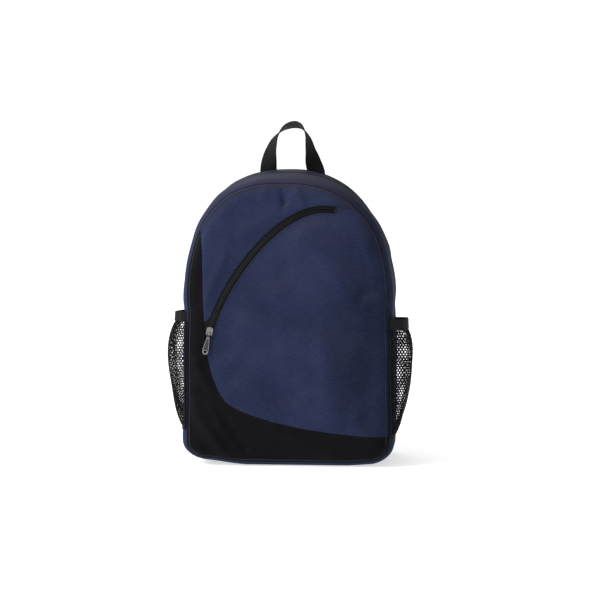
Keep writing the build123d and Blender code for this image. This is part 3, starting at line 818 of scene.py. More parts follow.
def front_depth(points):
    """y of the front cloth at points (x, z): the flat front, plus the roll, less the swell, the
    folds and the drift, plus the dips along the seams."""
    x, z = points[..., 0], points[..., 1]
    inset = edge_distance(x, z)
    roll = np.clip(1 - inset / EDGE, 0, 1)
    back = EDGE * (1 - np.sqrt(np.clip(1 - roll ** 2, 0, 1)))
    to_zip = nearest(points, np.concatenate([ZIP_LINE[::8], CREASE[::6]]))
    swell = SWELL * smooth_step(inset / (95 * MM)) * (0.45 + 0.55 * smooth_step(
        (0.30 - z) / 0.16)) * smooth_step((to_zip - 8 * MM) / (45 * MM))
    soft = sum(fold(points, *f) for f in FOLDS) * smooth_step(to_zip / (26 * MM)) \
        * smooth_step((inset - SEAM_IN) / (9 * MM))
    drift = np.sin(38 * x + 21 * z + 1.3 * np.sin(30 * z)) * np.sin(33 * z - 17 * x + 0.7) \
        + 0.4 * np.sin(92 * x - 61 * z + 1.1 * np.sin(70 * x)) * np.sin(84 * z + 40 * x)
    soft = soft + DRIFT * drift * smooth_step((to_zip - 6 * MM) / (40 * MM)) \
        * smooth_step((inset - SEAM_IN) / (20 * MM))
    sink = sum(depth * np.exp(-(nearest(points, line) / width) ** 2)
               for line, depth, width in SEAMS)
    sink = sink + 0.8 * MM * np.exp(-((inset - SEAM_IN) / (1.8 * MM)) ** 2)
    return FRONT_Y + back - swell - soft + sink


middle_depth = front_depth(np.array([[0.0, 0.2]]))[0]
print("the front's middle stands", round(1000 * (FRONT_Y - middle_depth), 1), "mm proud")

# %% [markdown]
# Upper, main and black cloth. Each is stretched between two of the lines above, with its rows
# crowded towards the seams, where the shape changes most. Where two lines meet in a point, the
# grid's columns meet there too.


# %% Stretching a front cloth
def crowded(count):
    """Shares from 0 to 1 that crowd towards both ends: mostly a half cosine."""
    t = np.linspace(0, 1, count)
    return 0.2 * t + 0.8 * (1 - np.cos(np.pi * t)) / 2


def front_cloth(name, low_line, high_line, count, material, stands_for, right_edge=None):
    """Cloth stretched between two lines with the same number of points: a straight blend from
    one to the other, plus what the right edge bows away from straight."""
    v = crowded(count)[:, None]
    points = low_line[:, None] * (1 - v) + high_line[:, None] * v
    if right_edge is not None:
        bow = right_edge - (right_edge[:1] * (1 - v) + right_edge[-1:] * v)
        u = np.linspace(0, 1, len(low_line))[:, None, None]
        points = points + u ** 2 * bow
    grid = np.stack([points[..., 0], front_depth(points), points[..., 1]], -1)
    return piece(sheet(name, grid, points, (0, -1, 0)), material, "fold", stands_for, CLOTH,
                 LINING)


def slot_edge(side):
    """Edge of the zip's slot, then of the crease that carries on from the slot's upper corner to
    the seam."""
    line = ZIP_LINE + sideways(ZIP_LINE) * SLIT * side
    return line, CREASE + side * np.array([[0.10, 0.25]]) * MM


upper_line, upper_crease = slot_edge(1)
main_line, main_crease = slot_edge(-1)
COLUMNS = 260
print("slot edges", round(walk(upper_line)[-1], 3), "and", round(walk(main_line)[-1], 3), "m")

# %% [markdown]
# The upper cloth runs from its point beside the black panel up round the arch. The main cloth
# starts in a point under the pull and widens to the right. The black panel lies between its
# swooping edge and the outer seam, with a row of its grid at each corner that it must keep.

# %% Three front cloths
wedge_up = respaced(wedge[::-1], 120)
upper_tip = wedge_up[0] + np.array([0.3, -1.0]) * MM
UNDER_BLACK = 26             # points of the slot's edge that the black panel hides
upper_low = np.concatenate([upper_tip[None], upper_line[UNDER_BLACK:], upper_crease])
upper_high = np.concatenate([upper_tip[None], wedge_up, seam_outline(TIP_S, CREASE_S, 300)[1:]])
front_cloth("front_upper_cloth", respaced(upper_low, COLUMNS), respaced(upper_high, COLUMNS),
            44, NAVY, ["front_panel_upper"])

foot = under_pull[-1]
main_high = np.concatenate([foot[None], main_line[:1] + np.array([[-4.0, -9.0]]) * MM, main_line,
                            main_crease])
main_low = np.concatenate([foot[None], turn_down, sweep_away[1:]])
MAIN_ROWS = 70
right_seam = respaced(seam_outline(END_S, CREASE_S, MAIN_ROWS), MAIN_ROWS)
right_places = np.round(crowded(MAIN_ROWS) * (MAIN_ROWS - 1)).astype(int)
front_cloth("front_main_cloth", respaced(main_low, COLUMNS), respaced(main_high, COLUMNS),
            MAIN_ROWS, NAVY, ["front_panel_main", "front_panel_main_base"],
            right_seam[right_places])

bend_s = distance_at(0.150, True)
corner_s = ROUND - (SIDE_X - CORNER_R) - CORNER_R * np.pi / 4
outer = np.concatenate([seam_outline(TIP_S, bend_s, 110)[:-1],
                        seam_outline(bend_s, corner_s, 80)[:-1],
                        seam_outline(corner_s, ROUND, 80)[:-1],
                        seam_outline(0, END_S, 90)])
inner = np.concatenate([respaced(np.concatenate([wedge, under_pull[1:]]), 110)[:-1],
                        respaced(turn_down, 80)[:-1],
                        respaced(sweep_away, 169)])
front_cloth("front_black_cloth", inner, outer, 40, BLACK,
            ["front_panel_black", "front_panel_black_base"])
tell("front cloths")
# %% [markdown]
# ## Gussets and back
# A gusset is a strip of cloth that follows the outline. Across it, a small profile says how far
# in from the outline and how deep each row lies: rolled at the front seam, then nearly straight.


# %% Gusset strips
def across_front(rows):
    """Insets and depths of rows from the front seam round the rolled edge."""
    start = np.arcsin(1 - SEAM_IN / EDGE)
    angle = np.linspace(start, np.pi / 2, rows)
    inset, y = EDGE * (1 - np.sin(angle)), FRONT_Y + EDGE * (1 - np.cos(angle))
    return inset, y + np.exp(-((angle - start) * EDGE / (1.8 * MM)) ** 2) * 0.8 * MM


def across_flat(y_from, y_to, rows, bulge):
    """Insets and depths of rows along the flat of a gusset that bows out slightly."""
    t = np.linspace(0, 1, rows)
    return -bulge * np.sin(np.pi * t), y_from + (y_to - y_from) * t


def strip(name, s_from, s_to, columns, insets, depths, material, body, stands_for,
          ripple=0.4 * MM):
    """Cloth strip round the outline between two distances, with the rows' insets and depths, and
    a slight ripple of two sines. Nothing bulges or ripples out under the flat floor."""
    s = np.linspace(s_from, s_to, columns)
    x, z, nx, nz = outline(s)
    free = (1 - np.clip(-nz, 0, 1))[:, None]
    wave = ripple * (np.sin(s[:, None] * 47 + depths * 90)
                     + 0.6 * np.sin(s[:, None] * 111 - depths * 60 + 1.0)) \
        * np.sin(np.linspace(0, np.pi, len(depths)))
    inset = np.maximum(insets, 0) + (np.minimum(insets, 0) + wave) * free
    inset = np.maximum(inset, -3 * MM * free)
    points = np.stack([x[:, None] - nx[:, None] * inset, depths + 0 * inset,
                       z[:, None] - nz[:, None] * inset], -1)
    uv = pair(s[:, None], walk(np.stack([insets, depths], 1)))
    outward = np.stack([nx, 0 * nx, nz], 1)[:, None]
    return piece(sheet(name, points, uv, outward), material, body, stands_for, CLOTH, LINING)


JOIN_Z = HINGE_Z - 3 * MM
JOIN_RIGHT, JOIN_LEFT = distance_at(JOIN_Z), distance_at(JOIN_Z, True)
edge_in, edge_y = across_front(16)
flat_in, flat_y = across_flat(edge_y[-1], ZIP_Y - SLIT, 22, 1.5 * MM)
rear_in, rear_y = across_flat(ZIP_Y + SLIT, REAR_SEAM_Y, 16, 0.8 * MM)
low_in, low_y = across_flat(edge_y[-1], REAR_SEAM_Y, 34, 1.2 * MM)
strip("front_gusset_cloth", JOIN_RIGHT, JOIN_LEFT, 420, np.append(edge_in, flat_in[1:]),
      np.append(edge_y, flat_y[1:]), NAVY, "fold", ["front_gusset"])
strip("rear_gusset_cloth", JOIN_RIGHT, JOIN_LEFT, 420, rear_in, rear_y, NAVY, "bag",
      ["rear_gusset"])
strip("lower_gusset_cloth", JOIN_LEFT - ROUND, JOIN_RIGHT, 420, np.append(edge_in, low_in[1:]),
      np.append(edge_y, low_y[1:]), NAVY, "fold", ["lower_gusset"])
tell("gussets")

# %% [markdown]
# ## Things carried along a path
# Coil rows, webbing, piping and elastic are one profile carried along a path: at each step the
# profile's two coordinates are laid out on a sideways and an upwards direction.


# %% Carried profiles
def weld(mesh):
    """Merges points that lie on each other, which closes poles and seams."""
    work = bmesh.new()
    work.from_mesh(mesh)
    bmesh.ops.remove_doubles(work, verts=work.verts, dist=0.002 * MM)
    work.to_mesh(mesh)
    work.free()
    return mesh


def smooth_path(corners, count):
    """A Catmull-Rom curve through the given points (mm), evenly spaced."""
    p = np.array(corners, float) * MM
    p = np.concatenate([[2 * p[0] - p[1]], p, [2 * p[-1] - p[-2]]])
    t = np.linspace(0, len(p) - 3 - 1e-9, 60 * len(p))
    i, f = t.astype(int), (t % 1)[:, None]
    a, b, c, d = p[i], p[i + 1], p[i + 2], p[i + 3]
    curve = b + 0.5 * f * (c - a + f * (2 * a - 5 * b + 4 * c - d + f * (3 * (b - c) + d - a)))
    return respaced(curve, count)


def flat_profile(width, thick, count=24, power=0.45):
    """A closed flat section with rounded edges: a superellipse of the given width."""
    angle = np.linspace(0, 2 * np.pi, count, endpoint=False)
    return np.stack([width / 2 * squared(np.cos(angle), power),
                     thick / 2 * squared(np.sin(angle), power)], 1)


def carry(name, path, side, profile, scale=None):
    """Each path point, plus side times the profile's first value, plus the direction square to
    both side and path times its second. scale shrinks the profile, to nothing at a closed end."""
    way = unit(np.gradient(path, axis=0))
    side = unit(side - way * (side * way).sum(-1, keepdims=True))
    up = np.cross(way, side)
    size = np.ones(len(path)) if scale is None else scale
    shape = profile * size[:, None, None]
    offset = side[:, None] * shape[..., :1] + up[:, None] * shape[..., 1:]
    uv = pair(shape[..., 0], walk(path)[:, None])
    return weld(sheet(name, path[:, None] + offset, uv, offset, close_columns=True))


def blunt(count, share=0.04):
    """Scale along a path that closes both ends with a short round."""
    t = np.linspace(0, 1, count)
    near = np.minimum(t, 1 - t) / share
    return np.sqrt(np.clip(1 - (1 - np.clip(near, 0, 1)) ** 2, 0, 1))


print("a webbing's section has", len(flat_profile(25 * MM, 1.5 * MM)), "points")

# %% [markdown]
# A stitch is a small capsule: rings of six points whose radius swells from a pole to the middle
# and back. A whole row of them is worked out in one array, and each one arches a little, so its
# ends dive into the cloth.


# %% Stitches
def stitches(name, path, up, body, pitch=3.3 * MM, length=2.5 * MM, thread=0.28 * MM):
    """Capsules end to end along a path. Each point is the capsule's own place (along, aside,
    out) laid on the path's direction, the one square to it, and up."""
    count = max(2, int(walk(path)[-1] / pitch))
    both = respaced(np.concatenate([path, np.broadcast_to(up, path.shape)], 1), count)
    centre, up = both[:, :3], unit(both[:, 3:])
    way = unit(np.gradient(centre, axis=0))
    axes = np.stack([way, unit(np.cross(up, way)), up], 1)
    along = np.array([-1, -0.86, -0.45, 0.45, 0.86, 1])[:, None]
    swell = np.array([0, 0.6, 1, 1, 0.6, 0])[:, None] * thread
    angle = np.linspace(0, 2 * np.pi, 6, endpoint=False)
    capsule = np.stack([along * length / 2 + 0 * angle, swell * np.cos(angle),
                        swell * np.sin(angle) - 0.25 * thread * along ** 2], -1)
    points = (centre[:, None, None] + np.einsum("rpk,nkd->nrpd", capsule, axes)).reshape(-1, 3)
    each = grid_faces(6, 6, close_columns=True)
    faces = (each[None] + 36 * np.arange(count)[:, None, None]).reshape(-1, 4)
    outward = points[faces].mean(1) - np.repeat(centre, len(each), axis=0)
    mesh = make_mesh(name, points, turned(points, faces, outward), np.zeros((len(points), 2)))
    return piece(weld(mesh), THREAD_DARK, body)


def on_front(line, proud=0.1 * MM):
    """A line (x, z) laid on the front cloth."""
    return np.stack([line[:, 0], front_depth(line) - proud, line[:, 1]], 1)


print("the front zip's edge takes", int(ZIP_LENGTH / (3.3 * MM)), "stitches")

# %% [markdown]
# ## Zips
# A coil zip is two tapes, each with a nylon spiral sewn along its edge. The spiral is drawn as a
# tube whose thickness swells once for every turn, slanted so that the two rows look interlocked.
# The tape is a thin strip with a thicker cord where the coil is sewn on.

# %% Tapes and coils
PITCH = 1.5 * MM             # one turn of the coil
TURN_POINTS = 6              # rings that draw one turn
TAPE_NEAR, TAPE_FAR = 0.8 * MM, 12 * MM


def coil_row(name, path, side, out, body, stands_for, phase=0.0):
    """Tube along a path with an oval section: radius = 1 + swell * cos(turn angle + slant)."""
    count = int(walk(path)[-1] / PITCH * TURN_POINTS)
    both = respaced(np.concatenate([path, side, out], 1), count)
    path, side, out = both[:, :3], unit(both[:, 3:6]), unit(both[:, 6:])
    angle = np.linspace(0, 2 * np.pi, 10, endpoint=False)[None]
    turn = 2 * np.pi * np.arange(count)[:, None] / TURN_POINTS + phase
    swell = 0.80 + 0.20 * np.cos(turn + np.sin(angle) * 0.9)
    swell = swell * blunt(count, 0.002)[:, None]
    offset = side[:, None] * (1.15 * MM * np.cos(angle) * swell)[..., None] \
        + out[:, None] * (1.0 * MM * np.sin(angle) * swell)[..., None]
    uv = pair(angle * MM, np.arange(count)[:, None] * PITCH / TURN_POINTS)
    mesh = weld(sheet(name, path[:, None] + offset, uv, offset, close_columns=True))
    return piece(mesh, COIL, body, stands_for)


def flat_tape(name, line, side, out, body, stands_for):
    """Zip tape: each point is the line's, plus side times a distance across the tape, plus out
    times a bell that makes the cord at its near edge."""
    across = np.linspace(TAPE_NEAR, TAPE_FAR, 9)
    lift = 0.25 * MM * np.exp(-((across - TAPE_NEAR) / (0.8 * MM)) ** 2)
    points = line[:, None] + side[:, None] * across[:, None] + out[:, None] * lift[:, None]
    mesh = sheet(name, points, pair(across, walk(line)[:, None]), out[:, None])
    return piece(mesh, TAPE, body, stands_for, 0.7 * MM)


print("front coil has", int(ZIP_LENGTH / PITCH), "turns a row")

# %% [markdown]
# The front zip lies in its slot, a little behind the cloth's face, and both its tapes run on
# for 9 mm under the cloth at each end.

# %% Front zip
zip_way = unit(np.gradient(ZIP_LINE, axis=0))
tail = np.linspace(1, 0, 12)[:-1, None] * 9 * MM
zip_run = np.concatenate([ZIP_LINE[:1] - zip_way[:1] * tail, ZIP_LINE,
                          ZIP_LINE[-1:] + zip_way[-1:] * tail[::-1]])
run_side = sideways(zip_run)
across_zip = np.stack([run_side[:, 0], 0 * run_side[:, 0], run_side[:, 1]], 1)
forward = np.broadcast_to([0.0, -1.0, 0.0], across_zip.shape)
tape_line = np.stack([zip_run[:, 0], FRONT_Y + CLOTH + 0.3 * MM + 0 * zip_run[:, 0],
                      zip_run[:, 1]], 1)
coil_line = tape_line - np.array([0, 1.1 * MM, 0])
ROW_OUT = 1.35 * MM          # a coil row's middle, from the zip's own middle
for side, label, tape_node, coil_node, phase in (
        (across_zip, "upper", ["front_zip_tape"], ["front_zip_coil"], 0.0),
        (-across_zip, "lower", [], [], np.pi)):
    flat_tape(f"front_zip_tape_{label}", tape_line, side, forward, "fold", tape_node)
    coil_row(f"front_zip_coil_{label}", coil_line + side * ROW_OUT, across_zip, forward, "fold",
             coil_node, phase)
tell("front zip")

# %% [markdown]
# The main zip follows the outline over the top and down both sides. Its front row is given the
# body "fold", like the front's cloths, and its rear row rides on the bag.


# %% Main zip
def main_row(side, body, tape_nodes, coil_nodes, name):
    """Tape and coil of one side of the main zip, in front of its middle (-1) or behind it."""
    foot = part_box("main_zip_coil_rear")[0].z
    x, z, nx, nz = outline(np.linspace(distance_at(foot), distance_at(foot, True), 900))
    out = np.stack([nx, 0 * nx, nz], 1)
    line = np.stack([x, ZIP_Y + 0 * x, z], 1)
    depth_way = np.broadcast_to([0.0, float(side), 0.0], line.shape)
    flat_tape(f"main_zip_tape_{name}_cloth", line - out * (CLOTH + 0.2 * MM), depth_way, out, body,
              tape_nodes)
    coil_row(f"main_zip_coil_{name}_row", line - out * 0.35 * MM + depth_way * ROW_OUT,
             depth_way, out, body, coil_nodes, np.pi * (side > 0))


main_row(-1, "fold", ["main_zip_tape_front", "main_zip_front_end_tape"],
         ["main_zip_coil_front", "main_zip_front_end_coil"], "front")
main_row(1, "bag", ["main_zip_tape_rear"], ["main_zip_coil_rear"], "rear")
tell("main zip")

# %% [markdown]
# The sliders are the frame's own castings, in plated metal. At each end of the front zip a short
# bar of folded tape is tacked across both rows, which stops the slider.


# %% Sliders and stops
def dress(material, *names):
    """Gives the frame's own pieces their finish."""
    for name in names:
        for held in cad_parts[name].material_slots:
            held.material = material


dress(METAL, "front_zip_slider", "main_zip_slider")

for end, inwards, name in ((ZIP_LINE[0], -zip_way[0], "low"), (ZIP_LINE[-1], zip_way[-1], "high")):
    line = end + inwards * np.linspace(-2.4, 1.6, 14)[:, None] * MM
    bar = np.stack([line[:, 0], FRONT_Y - 0.1 * MM + 0 * line[:, 0], line[:, 1]], 1)
    across = np.array([inwards[1], 0, -inwards[0]]) * np.ones_like(bar)
    piece(carry(f"front_zip_stop_{name}", bar, across, flat_profile(5.4 * MM, 1.7 * MM, 28, 0.4),
                blunt(14, 0.25)), TAPE, "fold",
          ["front_zip_stops"] if name == "low" else [])
tell("zip stops")

# %% [markdown]
# A pull is stamped from sheet: an eye that hangs on a thin bar under the slider's crown, a
# narrow neck, and a tab that widens to a round end with a hole. A raised rim follows the tab's
# edge. Each layer is a filled outline, extruded with a fine bevel.


# %% Stamped plates
def plate(loops, half_thick, bevel):
    """Mesh of flat outlines (mm) filled and extruded both ways, with holes where loops nest."""
    curve = bpy.data.curves.new("plate_work", "CURVE")
    curve.dimensions, curve.fill_mode = "2D", "BOTH"
    curve.extrude, curve.bevel_depth = (half_thick - bevel) * MM, bevel * MM
    curve.bevel_resolution, curve.offset = 2, -bevel * MM
    for loop_points in loops:
        spline = curve.splines.new("POLY")
        spline.points.add(len(loop_points) - 1)
        flat = np.zeros((len(loop_points), 4))
        flat[:, :2] = np.array(loop_points) * MM
        spline.points.foreach_set("co", flat.ravel())
        spline.use_cyclic_u = True
    obj = put("plate_work", curve)
    mesh = bpy.data.meshes.new_from_object(obj.evaluated_get(
        bpy.context.evaluated_depsgraph_get()))
    bpy.data.objects.remove(obj)
    return mesh


def tab_outline(margin, start):
    """Both edges of the tab from a given height down, moved in by a margin (mm)."""
    down = np.linspace(0, 1, 60) ** 0.7
    y = start + (33.9 - margin - start) * down
    knots = [(-0.7, 2.0), (0.2, 2.6), (5.5, 2.6), (7.6, 1.9), (10, 2.1), (17, 3.1), (25, 3.9),
             (29, 4.0), (31.5, 3.4), (33, 2.2), (33.9, 0.3)]
    wide = np.interp(y + margin * 0.5, *np.array(knots).T)
    wide = np.convolve(np.pad(wide, 2, mode="edge"), np.ones(5) / 5, "valid") - margin
    wide = np.maximum(wide, 0.15)
    return np.concatenate([np.stack([wide, -y], 1), np.stack([-wide, -y], 1)[::-1]])


def ring(x, y, half_wide, half_high, count=36):
    """A round or stadium-like loop."""
    angle = np.linspace(0, 2 * np.pi, count, endpoint=False)
    return np.stack([x + half_wide * squared(np.cos(angle), 0.8),
                     y + half_high * squared(np.sin(angle), 0.8)], 1)


print("the tab is", round(2 * tab_outline(0, -0.7)[:, 0].max(), 1), "mm wide")

# %% [markdown]
# The plates of one pull are joined, and laid out from the middle of its hinge bar on two
# directions: across the tab, and up it. Both pulls come from the same stamp.


# %% Both pulls
def zip_pull(name, pivot, across, up, body, node):
    """Eye, tab, rim and bar of one pull, laid on the plane of across and up at its pivot."""
    axes = np.array([across, up, np.cross(across, up)])
    hole = ring(0, -29.6, 2.0, 2.0)
    layers = [plate([tab_outline(0, -0.7), ring(0, -3.1, 1.45, 2.4), hole], 0.45, 0.15),
              plate([tab_outline(0.05, 8.6), tab_outline(0.85, 10.2)], 0.65, 0.12),
              plate([ring(0, -29.6, 2.8, 2.8), hole], 0.62, 0.12)]
    work = bmesh.new()
    for layer in layers:
        work.from_mesh(layer)
    mesh = bpy.data.meshes.new(name)
    work.to_mesh(mesh)
    work.free()
    move_points(mesh, points_of(mesh) @ axes + pivot)
    mesh.materials.clear()
    piece(mesh, METAL, body, [node])
    # The recessed face, the first plate, takes the darker copy of the plate.
    mesh.materials.append(METAL_FACE)
    recessed = np.arange(len(mesh.polygons)) < len(layers[0].polygons)
    mesh.polygons.foreach_set("material_index", recessed.astype(np.int32))
    bar = pivot + np.linspace(-2.2, 2.2, 8)[:, None] * MM * axes[0]
    piece(carry(name + "_bar", bar, np.broadcast_to(axes[1], bar.shape),
                flat_profile(1.3 * MM, 1.3 * MM, 14, 1.0)), METAL, body)


zip_pull("front_pull_tab", np.array([-110.329, -96.1, 194.777]) * MM, [0.978509, 0, -0.206204],
         [0.206204, 0, 0.978509], "front_pull", "front_zip_pull")
zip_pull("main_pull_tab", np.array([-152.035, -0.95, 232.068]) * MM, [0, -1, 0], [0, 0, 1],
         "main_pull", "main_zip_pull")
tell("pulls")

# %% [markdown]
# Topstitching holds each turned edge. Its rows run a few millimetres beside the edge, in a dark
# thread that is only seen where it catches the light.

# %% Topstitching of the front
zip_side = sideways(ZIP_LINE)
for sign, name in ((1, "upper"), (-1, "lower")):
    row = ZIP_LINE + zip_side * sign * (SLIT + 2.2 * MM)
    stitches(f"zip_stitches_{name}", on_front(row), (0, -1, 0), "fold")
edge_row = respaced(BLACK_EDGE, 700)
stitches("black_panel_stitches", on_front(edge_row - sideways(edge_row) * 2.4 * MM),
         (0, -1, 0), "fold")
crease_row = CREASE[2:-2] + np.array([[0.6, 2.4]]) * MM
stitches("crease_stitches", on_front(crease_row), (0, -1, 0), "fold")
tell("topstitching")

# %% [markdown]
# Where the front's cloths meet the gusset, a thin near-black cord covers the gap, and its colour
# is painted shade for the turned seam's crease. It is a small round profile carried right round
# the front, sunk almost to its middle.

# %% Front seam's shade cord
# The cord covers the gap between the cloths; its near-black colour is painted shade for the seam's
# crease.
welt = on_front(seam_outline(0, ROUND, 1200), -0.15 * MM)
piece(carry("front_seam_welt", welt, np.broadcast_to([0.0, 1.0, 0.0], welt.shape),
            flat_profile(1.0 * MM, 1.0 * MM, 8, 1.0)), SEAM_SHADE, "fold")
tell("welt")

# %% [markdown]
# ## Side pockets
# Each pocket is knitted net gathered under a wide elastic. Seen from above it leaves the side
# panel, turns a soft corner, runs along the side and comes back. The net is a lattice of hexagons
# laid out on that surface, so light really passes between its yarns.

# %% Pocket surface
PLAN = 0.42                  # the plan's superellipse: lower is squarer


def rolled_in(y):
    """How far the rolled front edge lies in from the side at depth y."""
    lean = np.clip((y - FRONT_Y) / EDGE, 0, 1)
    return EDGE * (1 - np.sqrt(np.clip(1 - (1 - lean) ** 2, 0, 1)))


class Pocket:
    """The net's surface on one side: pocket(u, v) gives points for u round from the front to the
    back and v from the foot to the mouth. Its plan is a superellipse, its side a Bezier curve
    that bellies out, and small sines make the gathers under the elastic and the slack below."""

    def __init__(self, hand):
        low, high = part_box(f"mesh_pocket_{hand}")
        band_low, band_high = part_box(f"pocket_elastic_{hand}")
        self.sign = -1 if hand == "left" else 1
        self.foot, self.mouth, self.top = low.z, high.z, band_high.z
        self.middle, self.half = (low.y + high.y) / 2, (high.y - low.y) / 2
        reach = abs(band_low.x) if hand == "left" else band_high.x
        stand = reach - SIDE_X - 3.4 * MM
        fullest = (abs(low.x) if hand == "left" else high.x) - SIDE_X - 3 * MM
        self.angle = np.linspace(0, np.pi, 2000)
        self.walked = walk(np.stack([fullest * np.sin(self.angle) ** PLAN,
                                     -self.half * squared(np.cos(self.angle), PLAN)], 1))
        t = np.linspace(0, 1, 300)
        b, c, d = 3 * t * (1 - t) ** 2, 3 * t * t * (1 - t), t ** 3
        self.height = b * 0.20 + c * 0.80 + d
        self.out = b * 0.85 * fullest + c * 1.30 * fullest + d * stand
        self.width = self.walked[-1]
        self.tall = self.mouth - self.foot

    def __call__(self, u, v):
        angle = np.interp(u * self.width, self.walked, self.angle)
        bow = np.interp(v, self.height, self.out)
        gather = 1.5 * MM * np.sin(2 * np.pi * (u * 13 + 0.3 * np.sin(u * 9))) \
            * smooth_step((v - 0.35) / 0.65) * np.sin(angle)
        slack = 1.2 * MM * np.sin(u * 11 + v * 7) * np.sin(np.pi * np.clip(v, 0, 1)) \
            * np.sin(angle)
        y = self.middle - self.half * squared(np.cos(angle), PLAN)
        x = SIDE_X - rolled_in(y) + bow * np.sin(angle) ** PLAN + gather + slack
        sag = 13 * MM * (y - self.middle + self.half) / (2 * self.half) * v
        z = self.foot + v * self.tall - sag + 1.5 * MM * np.sin(u * 17) * (1 - v) ** 2
        return np.stack([self.sign * x, y, z], -1)


POCKETS = {hand: Pocket(hand) for hand in ("left", "right")}
print("nets are", {hand: round(pocket.width, 3) for hand, pocket in POCKETS.items()}, "m round")

# %% [markdown]
# The net could be a picture with holes, but from the side it must have real yarns. Its hexagons
# stand on a triangular lattice in (u, v). Each is a ring of six quads between the hexagon it
# shares with its neighbours and a smaller one, both taken through the pocket's function.


# %% Net
def net(name, surface, pitch, opening, material, stands_for):
    """Hexagon rings: corners are the centre plus the corner's direction, once at full size and
    once at the opening's share of it. Corners that lie on each other are merged."""
    columns, rows = int(surface.width / pitch), int(surface.tall / (pitch * 0.866))
    i, j = np.meshgrid(np.arange(columns), np.arange(rows), indexing="ij")
    centre = np.stack([(i + 0.5 + 0.5 * (j % 2) - 0.25), j + 0.5], -1).reshape(-1, 1, 2) \
        * np.array([1 / columns, 1 / rows])
    corner = np.radians(np.arange(6) * 60 + 30)
    hexagon = np.stack([np.cos(corner) / np.sqrt(3) / columns,
                        np.sin(corner) / np.sqrt(3) / (0.866 * rows)], 1)
    flat = np.concatenate([centre + hexagon, centre + hexagon * opening], 1).reshape(-1, 2)
    flat = np.clip(np.round(flat, 6), 0, 1)
    k = np.arange(6)
    each = np.stack([k, (k + 1) % 6, (k + 1) % 6 + 6, k + 6], 1)
    faces = (each[None] + 12 * np.arange(len(centre))[:, None, None]).reshape(-1, 4)
    shared, index = np.unique(flat, axis=0, return_inverse=True)
    faces = index.reshape(-1)[faces]
    points = surface(shared[:, 0], shared[:, 1])
    faces = turned(points, faces, points[faces].mean(1) * np.array([1, 0, 0]))
    uv = shared * np.array([surface.width, surface.tall])
    return piece(weld(make_mesh(name, points, faces, uv)), material, "fold", stands_for,
                 0.45 * MM)


for hand, opening in (("left", 0.70), ("right", 0.62)):
    net(f"pocket_net_{hand}", POCKETS[hand], 4.2 * MM, opening, NET_YARN, [f"mesh_pocket_{hand}"])
tell("nets")

# %% [markdown]
# A wide knitted elastic holds the mouth, with a row of stitches near each of its edges, and a
# folded tape binds the net's other three sides to the bag. All are carried along lines that the
# pocket's own function gives.

# %% Elastics and bindings
for hand, pocket in POCKETS.items():
    u = np.linspace(0, 1, 240)
    tall = pocket.top - pocket.mouth
    rim = pocket(u, np.ones_like(u)) + np.array([0, 0, tall / 2])
    upwards = np.broadcast_to([0.0, 0.0, 1.0], rim.shape)
    band = carry(f"pocket_elastic_{hand}_band", rim, upwards,
                 flat_profile(tall, 1.9 * MM, 28, 0.3))
    piece(band, ELASTIC, "fold", [f"pocket_elastic_{hand}"])

    outwards = unit(np.cross(upwards, np.gradient(rim, axis=0)))
    outwards = outwards * np.sign(outwards[120, 0] * pocket.sign)
    for level, label in ((-tall / 2 + 2.6 * MM, "low"), (tall / 2 - 2.6 * MM, "high")):
        row = rim + outwards * 1.0 * MM + np.array([0, 0, level])
        stitches(f"elastic_stitches_{label}_{hand}", row[14:-14], outwards[14:-14], "fold")

    v = np.linspace(1, 0, 70)
    edge = np.concatenate([pocket(0 * v, v), pocket(np.linspace(0.01, 0.99, 90), np.zeros(90)),
                           pocket(0 * v + 1, v[::-1])])
    edge = respaced(edge, 260) + np.array([pocket.sign * 0.5 * MM, 0, 0])
    side = np.cross(unit(np.gradient(edge, axis=0)), [float(pocket.sign), 0.0, 0.0])
    piece(carry(f"pocket_binding_{hand}", edge, side, flat_profile(7 * MM, 1.6 * MM, 16, 0.4)),
          TAPE, "fold")
tell("elastics and bindings")

# %% [markdown]
# ## Haul loop
# One length of 25 mm webbing. Its two legs lie flat in the rear seam, facing front, and it turns
# on itself on the way up, so that the crown is seen on edge with a little of its underside. The
# width's direction turns half a circle, seen from above, from one leg to the other.

# %% Haul loop
loop_low, loop_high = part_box("haul_loop")
LOOP_Y = (loop_low.y + loop_high.y) / 2
loop_line = smooth_path([(-36, 0, 402), (-36.5, 0, 414), (-35, -1, 430), (-31.5, -2, 447),
                         (-25, -2, 463), (-14, -1, 475.5), (0, 0, 481), (12, 0, 477.5),
                         (20.5, -1, 464), (25, -2, 444), (29, -1, 426), (33.5, 0, 412),
                         (34, 0, 402)], 200) + np.array([0, LOOP_Y, 0])
share = np.linspace(0, 1, len(loop_line))
turn = np.radians(np.interp(share, [0, 0.07, 0.22, 0.36, 0.5, 0.66, 0.78, 0.93, 1],
                            [0, 5, 48, 68, 88, 106, 124, 176, 180]))
soften = np.hanning(25) / np.hanning(25).sum()
turn = np.convolve(np.pad(turn, 12, mode="edge"), soften, "valid")
lean = np.radians(26) * np.sin(turn)
width_way = np.stack([np.cos(turn), -np.sin(turn) * np.cos(lean), np.sin(turn) * np.sin(lean)], 1)
loop = carry("haul_loop_webbing", loop_line, width_way,
             flat_profile(24.5 * MM, 1.9 * MM, 40, 0.3))
loop_piece = put("haul_loop_webbing", loop)
loop.materials.append(WEBBING)
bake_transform(loop_piece)
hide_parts("haul_loop")
print("haul loop", round(walk(loop_line)[-1], 3), "m")

# %% [markdown]
# ## Back panel
# The back is a padded panel: soft foam under knitted spacer net, with a spine channel and three
# sewn cross lines where sweat can dry. A face grid runs from the outline to the panel's spine,
# so it has even cells near the rolled edge, where the shape changes most.

# %% Whole faces
SPINE_LOW, SPINE_HIGH = 45 * MM, ARCH_Z + 20 * MM


